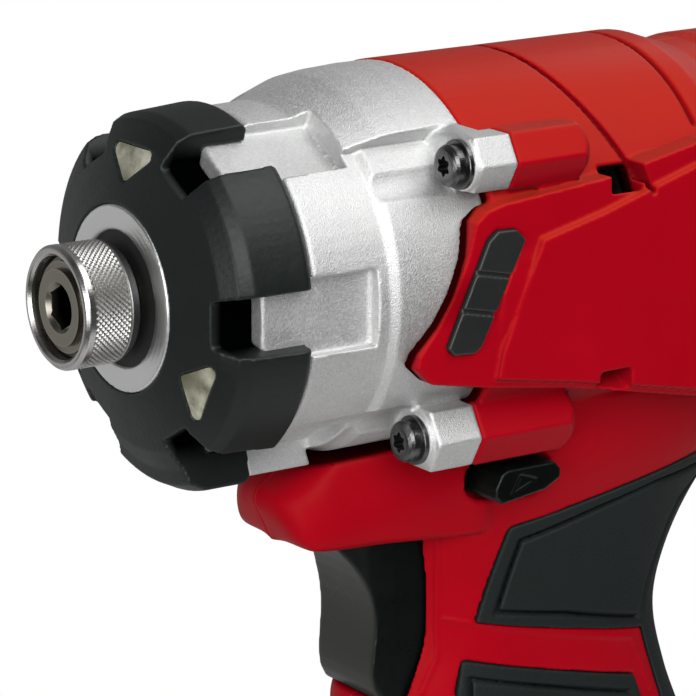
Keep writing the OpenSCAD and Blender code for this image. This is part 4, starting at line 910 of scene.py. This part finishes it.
class DRIVER_OT_housing(bpy.types.Operator):
    """Makes the two red housing halves as soft-edged mouldings"""

    bl_idname = "driver.housing"
    bl_label = "Housing halves"

    def execute(self, context):
        shape = context.scene.driver_shape

        def reshape(mesh, points):
            points = blurred(mesh, points, chin(points), CHIN_ROUNDS)
            points = smooth_handle(points, [0.0], 0.8)
            _, far = on_handle(points, 0.0)
            points = blurred(mesh, points, np.where(far < RIM_REACH, 1.0, 0.0), RIM_ROUNDS)
            outside, far = on_handle(points, -1.0)
            near = np.minimum(line_distance(points, GUARD_LINE), line_distance(points, BAND_LINE))
            lip = np.exp(-((near / RIDGE_HALF) ** 2)) * np.clip(2 - far, 0, 1)
            return points + (outside - points) * (RIDGE_HEIGHT * lip)[:, None]

        def chin(points):
            share = ramp(np.abs(points[:, 1]) - CHIN_SEAM, CHIN_SEAM_FADE)
            share *= ramp(CHIN_BACK - points[:, 0], CHIN_BACK_FADE)
            share *= ramp(points[:, 2] - CHIN_FLOOR, CHIN_FLOOR_FADE)
            return share * ramp(CHIN_TOP - points[:, 2], CHIN_TOP_FADE)

        for side in ("left", "right"):
            node = side + "_housing"
            softened("housing_" + side, node, "housing", "red_plastic", shape.voxel, shape.soften, reshape)
        return {"FINISHED"}


class DRIVER_OT_case(bpy.types.Operator):
    """Makes the cast hammer case"""

    bl_idname = "driver.case"
    bl_label = "Hammer case"

    def execute(self, context):
        shape = context.scene.driver_shape
        voxel = shape.fine_voxel
        softened("case_casting", "hammer_case", "housing", "cast_aluminium", voxel, shape.soften)
        return {"FINISHED"}


class DRIVER_OT_bumper(bpy.types.Operator):
    """Makes the lobed nose bumper"""

    bl_idname = "driver.bumper"
    bl_label = "Nose bumper"

    def execute(self, context):
        shape = context.scene.driver_shape
        voxel = shape.fine_voxel
        softened("bumper_body", "nose_bumper", "housing", "black_bumper", voxel, shape.soften + 1)
        return {"FINISHED"}


class DRIVER_OT_chuck(bpy.types.Operator):
    """Makes the chuck sleeve with its knurl"""

    bl_idname = "driver.chuck"
    bl_label = "Chuck sleeve"

    def execute(self, context):
        shape = context.scene.driver_shape
        length = (SLEEVE_HIGH.x - SLEEVE_LOW.x) / MM
        radius = (SLEEVE_HIGH.z - SLEEVE_LOW.z) / 2 / MM
        low = radius - shape.knurl_height / MM
        pitch = math.pi * low / shape.knurl_columns
        begin = 2.2
        end = begin + (shape.knurl_rows - 1) * pitch
        bore, shoulder, inner = radius - 1.7, length - 3, 6.25
        profile = [
            (0.5, bore), (0.12, bore + 0.35), (0, bore + 0.5), (0, radius - 0.75), (0.1, radius - 0.5),
            (0.55, radius - 0.06), (0.7, radius), (begin - pitch - 0.1, radius), (begin - pitch + 0.1, low),
            (end + pitch - 0.1, low), (end + pitch + 0.1, radius - 0.15), (end + pitch + 0.4, radius - 0.15),
            (end + pitch + 0.5, radius - 0.7), (length - 0.5, radius - 0.7), (length, radius - 1.2),
            (length, inner), (shoulder, inner), (shoulder, bore),
        ]
        body = lathe("sleeve_body", profile)
        place(body, "chuck_sleeve", "sleeve_steel", "chuck_sleeve")
        knurl = from_data("sleeve_knurl", [(0, 0, 0)], [])
        settings = {
            "Rows": shape.knurl_rows, "Columns": shape.knurl_columns, "Pitch": pitch * MM,
            "Radius": (low - 0.02) * MM, "Height": shape.knurl_height, "Start": NOSE + begin * MM,
            "Axis": SPINDLE, "Material": finish_of("sleeve_steel"),
        }
        run_nodes(knurl, "KnurlDiamonds", settings)
        place(knurl, "chuck_sleeve", "sleeve_steel")
        return {"FINISHED"}


class DRIVER_OT_screws(bpy.types.Operator):
    """Makes every screw with a lobed recess"""

    bl_idname = "driver.screws"
    bl_label = "Screws"

    def execute(self, context):
        spots = solid_spots("case_screws")
        tip = (spots[0][1][0] - spots[0][0][0]) / MM
        wide = (spots[0][1][1] - spots[0][0][1]) / 2 / MM
        head = wide - 0.65
        profile = [
            (-tip, 1.7), (-tip + 0.5, 2.0), (-3.2, 2.0), (-3.2, wide), (-2.5, wide), (-2.4, wide - 0.15),
            (-2.4, head - 0.05), (-0.9, head), (-0.4, head - 0.3), (-0.1, head - 0.8), (0, head - 1.3),
        ]
        piece = screw_piece("case_screw", profile, recess_r=1.7, recess_depth=1.7)
        heads = [(a[0], (a[1] + b[1]) / 2, (a[2] + b[2]) / 2) for a, b in spots]
        obj = copies("case_screw_set", piece, heads, (0, -math.pi / 2, 0), "black_screw")
        place(obj, "housing", "black_screw", "case_screws")
        self.sunk("housing_screws", "housing_screw_set", "housing", 1, (-math.pi / 2, 0, 0))
        self.sunk("battery_screws", "pack_screw_set", "battery", 2, (math.pi, 0, 0))
        return {"FINISHED"}

    def sunk(self, node, name, body, axis, turn):
        """Small sunk screws; each solid is its own length, so each length is one set of copies."""
        lengths = {}
        for low, high in solid_spots(node):
            spot = (low + high) / 2
            spot[axis] = high[axis] if axis == 1 else low[axis]
            lengths.setdefault(round((high[axis] - low[axis]) / MM, 2), []).append(spot)
        parts = []
        for length, spots in sorted(lengths.items()):
            profile = [
                (-length, 1.1), (-length + 0.4, 1.4), (-2.2, 1.4), (-2.2, 3.0), (-0.5, 3.0), (-0.1, 2.6),
                (0, 2.2),
            ]
            piece = screw_piece(f"{name}_{length}", profile, recess_r=1.45, recess_depth=1.2)
            parts.append(copies(f"{name}_{len(parts)}", piece, spots, turn, "black_screw"))
        place(joined(name, parts), body, "black_screw", node)


class DRIVER_OT_pads(bpy.types.Operator):
    """Makes the slanted black pads in the side lugs"""

    bl_idname = "driver.pads"
    bl_label = "Side pads"

    def execute(self, context):
        for side in ("left", "right"):
            node = side + "_side_pad"
            softened("pad_" + side, node, "housing", "black_plastic", SMALL_VOXEL * MM, rounds=14)
        return {"FINISHED"}


class DRIVER_OT_grips(bpy.types.Operator):
    """Makes the rubber grip panels with the line round their inner fields"""

    bl_idname = "driver.grips"
    bl_label = "Grip rubber"

    def execute(self, context):
        shape = context.scene.driver_shape
        depth, half = shape.groove / MM, shape.groove_half / MM
        for level, outline in (("upper", UPPER_PANEL), ("lower", LOWER_PANEL)):

            def reshape(mesh, points):
                points = smooth_handle(points, GRIP_SKINS, 0.7)
                points = blurred(mesh, points, np.ones(len(points)), 5)
                _, far = on_handle(points, GRIP_SKINS[0])
                inward, _ = on_handle(points, 1.0)
                way = inward - points
                way /= np.maximum(np.linalg.norm(way, axis=1), 1e-6)[:, None]
                line = np.exp(-((outline_distance(points, outline) / half) ** 2))
                return points + way * (depth * line * np.clip(1 - far / 0.5, 0, 1))[:, None]

            for side in ("left", "right"):
                name, node = f"grip_{level}_{side}", f"{side}_{level}_grip"
                voxel = shape.fine_voxel
                softened(name, node, "housing", "grip_rubber", voxel, 4, reshape, FEWER_TRIANGLES)
        return {"FINISHED"}


class DRIVER_OT_controls(bpy.types.Operator):
    """Makes the trigger and the direction selector with its arrow mark"""

    bl_idname = "driver.controls"
    bl_label = "Trigger and selector"

    def execute(self, context):
        shape = context.scene.driver_shape
        softened("trigger_blade", "trigger", "trigger", "trigger_plastic", shape.fine_voxel, rounds=18)
        node = "direction_selector"
        low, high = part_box(node)
        middle = tool_mm(np.array([(low + high) / 2]))[0]
        outer = tool_mm(np.array([low, high]))[:, 1]

        def reshape(mesh, points):
            local = points - np.array([middle[0], 0, middle[2]])
            line = np.exp(-((outline_distance(local, ARROW) / ARROW_HALF) ** 2))
            out = np.clip(1 - np.abs(points[:, 1] - outer[0]) / 0.3, 0, 1)
            points[:, 1] += ARROW_DEPTH * line * out
            return points

        softened("selector_bar", node, node, "trigger_plastic", SMALL_VOXEL * MM, 3, reshape)
        return {"FINISHED"}


class DRIVER_OT_pack(bpy.types.Operator):
    """Makes the battery pack's mouldings and its release button"""

    bl_idname = "driver.pack"
    bl_label = "Battery pack"

    def execute(self, context):
        shape = context.scene.driver_shape
        for name, node in (("pack_tub", "battery_tub"), ("pack_lid", "battery_top")):
            softened(
                name, node, "battery", "black_plastic", shape.voxel, shape.soften, most=FEWER_TRIANGLES
            )
        node = "release_button"
        softened("release_paddle", node, node, "release_red", shape.fine_voxel, rounds=3)
        return {"FINISHED"}


class DRIVER_OT_springs(bpy.types.Operator):
    """Winds the springs"""

    bl_idname = "driver.springs"
    bl_label = "Springs"

    def execute(self, context):
        self.wind("spring_hammer", "hammer_spring", "cam_carrier", 3.5, 1.4, 0, "hammer_slide", 1)
        self.wind("spring_sleeve", "sleeve_spring", "output_anvil", 1.75, 0.4, 0, "sleeve_slide", 0)
        self.wind("spring_trigger", "trigger_spring", "housing", 6, 0.4, 0, "trigger_slide", 1)
        self.wind("spring_release", "release_spring", "battery", 3, 0.4, 2, "release_press", 0)
        return {"FINISHED"}

    def wind(self, name, node, body, turns, wire, axis, joint, fixed):
        """Turns of a wire of a radius in mm along an axis; fixed, the still end with 0 the low and 1 the
        high, is not used.
        """
        obj = coil_piece(name, node, turns, wire * MM, axis)
        place(obj, body, "spring_steel", node)
        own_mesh(obj)


class DRIVER_OT_finishes(bpy.types.Operator):
    """Gives every CAD node that is shown as it is its finish"""

    bl_idname = "driver.finishes"
    bl_label = "Finishes"

    def execute(self, context):
        for part in frame["record"]["subparts"]:
            paint(frame["nodes"][part["node"]], part["material_slot"])
        return {"FINISHED"}


class DRIVER_OT_stage(bpy.types.Operator):
    """Sets the floor, the soft lights, the white surround and the camera"""

    bl_idname = "driver.stage"
    bl_label = "Stage"

    def execute(self, context):
        stage = context.scene.driver_stage
        self.floor()
        for name, (spot, size) in LIGHTS.items():
            self.light(name, spot, size, getattr(stage, name))
        self.surround(context.scene, stage)
        self.camera(context.scene, stage)
        context.scene.view_settings.view_transform = "Standard"
        return {"FINISHED"}

    def floor(self):
        rim = [(FLOOR_RADIUS * across, FLOOR_RADIUS * up, 0) for across, up in circle(96)]
        obj = from_data("floor", rim, [range(96)])
        made, tree, shader = new_material("floor_pale", 0.0, {"Roughness": 0.6})
        clouds = use(tree, "SurfaceClouds", {"Scale": 20.0})["Value"]
        tone = mix_colour(tree, clouds, (0.62, 0.62, 0.62, 1), (0.66, 0.66, 0.66, 1))
        mirrored = add(tree, "ShaderNodeLightPath").outputs["Is Glossy Ray"]
        feed(tree, shader, {"Base Color": mix_colour(tree, mirrored, tone, (0.7, 0.7, 0.7, 1))})
        obj.data.materials.append(made)

    def light(self, name, spot, size, power):
        data = bpy.data.lights.new(name, "AREA")
        data.size = size
        data.energy = power
        obj = new_object(name, data)
        obj.location = spot
        aim = LIGHT_AIM - obj.location
        obj.rotation_euler = aim.to_track_quat("-Z", "Y").to_euler()

    def surround(self, scene, stage):
        """A white sweep behind the tool, a dim room with a card before the nose, and white to the camera."""
        world = bpy.data.worlds.new("surround")
        scene.world = world
        world.use_nodes = True
        tree = world.node_tree
        path = add(tree, "ShaderNodeLightPath").outputs
        way = add(tree, "ShaderNodeTexCoord").outputs["Generated"]
        ahead = (-math.sin(stage.azimuth), math.cos(stage.azimuth), 0.25)
        sweep = span(tree, dot(tree, way, ahead), -0.1, 0.8, 0.03, 0.22)
        card = (-math.cos(stage.azimuth) * 0.65, 0.8, -0.25)
        sweep = plus(tree, sweep, span(tree, dot(tree, way, card), 0.72, 0.95, 0.0, 0.36))
        lit = mix_value(tree, path["Is Glossy Ray"], stage.fill, sweep)
        shown = math_node(tree, "MAXIMUM", path["Is Camera Ray"], path["Is Transmission Ray"])
        tone = mix_colour(tree, mix_value(tree, shown, lit, 1.0), (0, 0, 0, 1), (1, 1, 1, 1))
        feed(tree, tree.nodes["Background"], {"Color": tone})

    def camera(self, scene, stage):
        data = bpy.data.cameras.new("camera")
        data.lens = stage.lens
        data.sensor_width = 36
        data.clip_start = 0.01
        obj = new_object("camera", data)
        a, e = stage.azimuth, stage.elevation
        back = Vector((math.sin(a) * math.cos(e), -math.cos(a) * math.cos(e), math.sin(e)))
        obj.location = row_m(CAMERA_PLACE)
        obj.rotation_euler = (-back).to_track_quat("-Z", "Y").to_euler()
        scene.camera = obj


class DRIVER_PT_panel(bpy.types.Panel):
    """Builds the looks piece by piece"""

    bl_idname = "DRIVER_PT_panel"
    bl_label = "Impact driver"
    bl_space_type = "VIEW_3D"
    bl_region_type = "UI"
    bl_category = "Driver"

    def draw(self, context):
        scene = context.scene
        for group in (scene.driver_shape, scene.driver_colours, scene.driver_stage):
            box = self.layout.box()
            for name in group.__annotations__:
                box.prop(group, name)
        for step in STEPS:
            self.layout.operator(step.bl_idname)


STEPS = (
    DRIVER_OT_finishes,
    DRIVER_OT_housing,
    DRIVER_OT_case,
    DRIVER_OT_bumper,
    DRIVER_OT_chuck,
    DRIVER_OT_screws,
    DRIVER_OT_pads,
    DRIVER_OT_grips,
    DRIVER_OT_controls,
    DRIVER_OT_pack,
    DRIVER_OT_springs,
    DRIVER_OT_stage,
)
CLASSES = (DriverShape, DriverColours, DriverStage, *STEPS, DRIVER_PT_panel)


def register():
    for c in CLASSES:
        bpy.utils.register_class(c)
    bpy.types.Scene.driver_shape = PointerProperty(type=DriverShape)
    bpy.types.Scene.driver_colours = PointerProperty(type=DriverColours)
    bpy.types.Scene.driver_stage = PointerProperty(type=DriverStage)


def unregister():
    del bpy.types.Scene.driver_stage
    del bpy.types.Scene.driver_colours
    del bpy.types.Scene.driver_shape
    for c in reversed(CLASSES):
        bpy.utils.unregister_class(c)


def main():
    register()
    bpy.ops.driver.finishes()
    bpy.ops.driver.housing()
    bpy.ops.driver.case()
    bpy.ops.driver.bumper()
    bpy.ops.driver.chuck()
    bpy.ops.driver.screws()
    bpy.ops.driver.pads()
    bpy.ops.driver.grips()
    bpy.ops.driver.controls()
    bpy.ops.driver.pack()
    bpy.ops.driver.springs()
    bpy.ops.driver.stage()


if __name__ == "__main__":
    main()
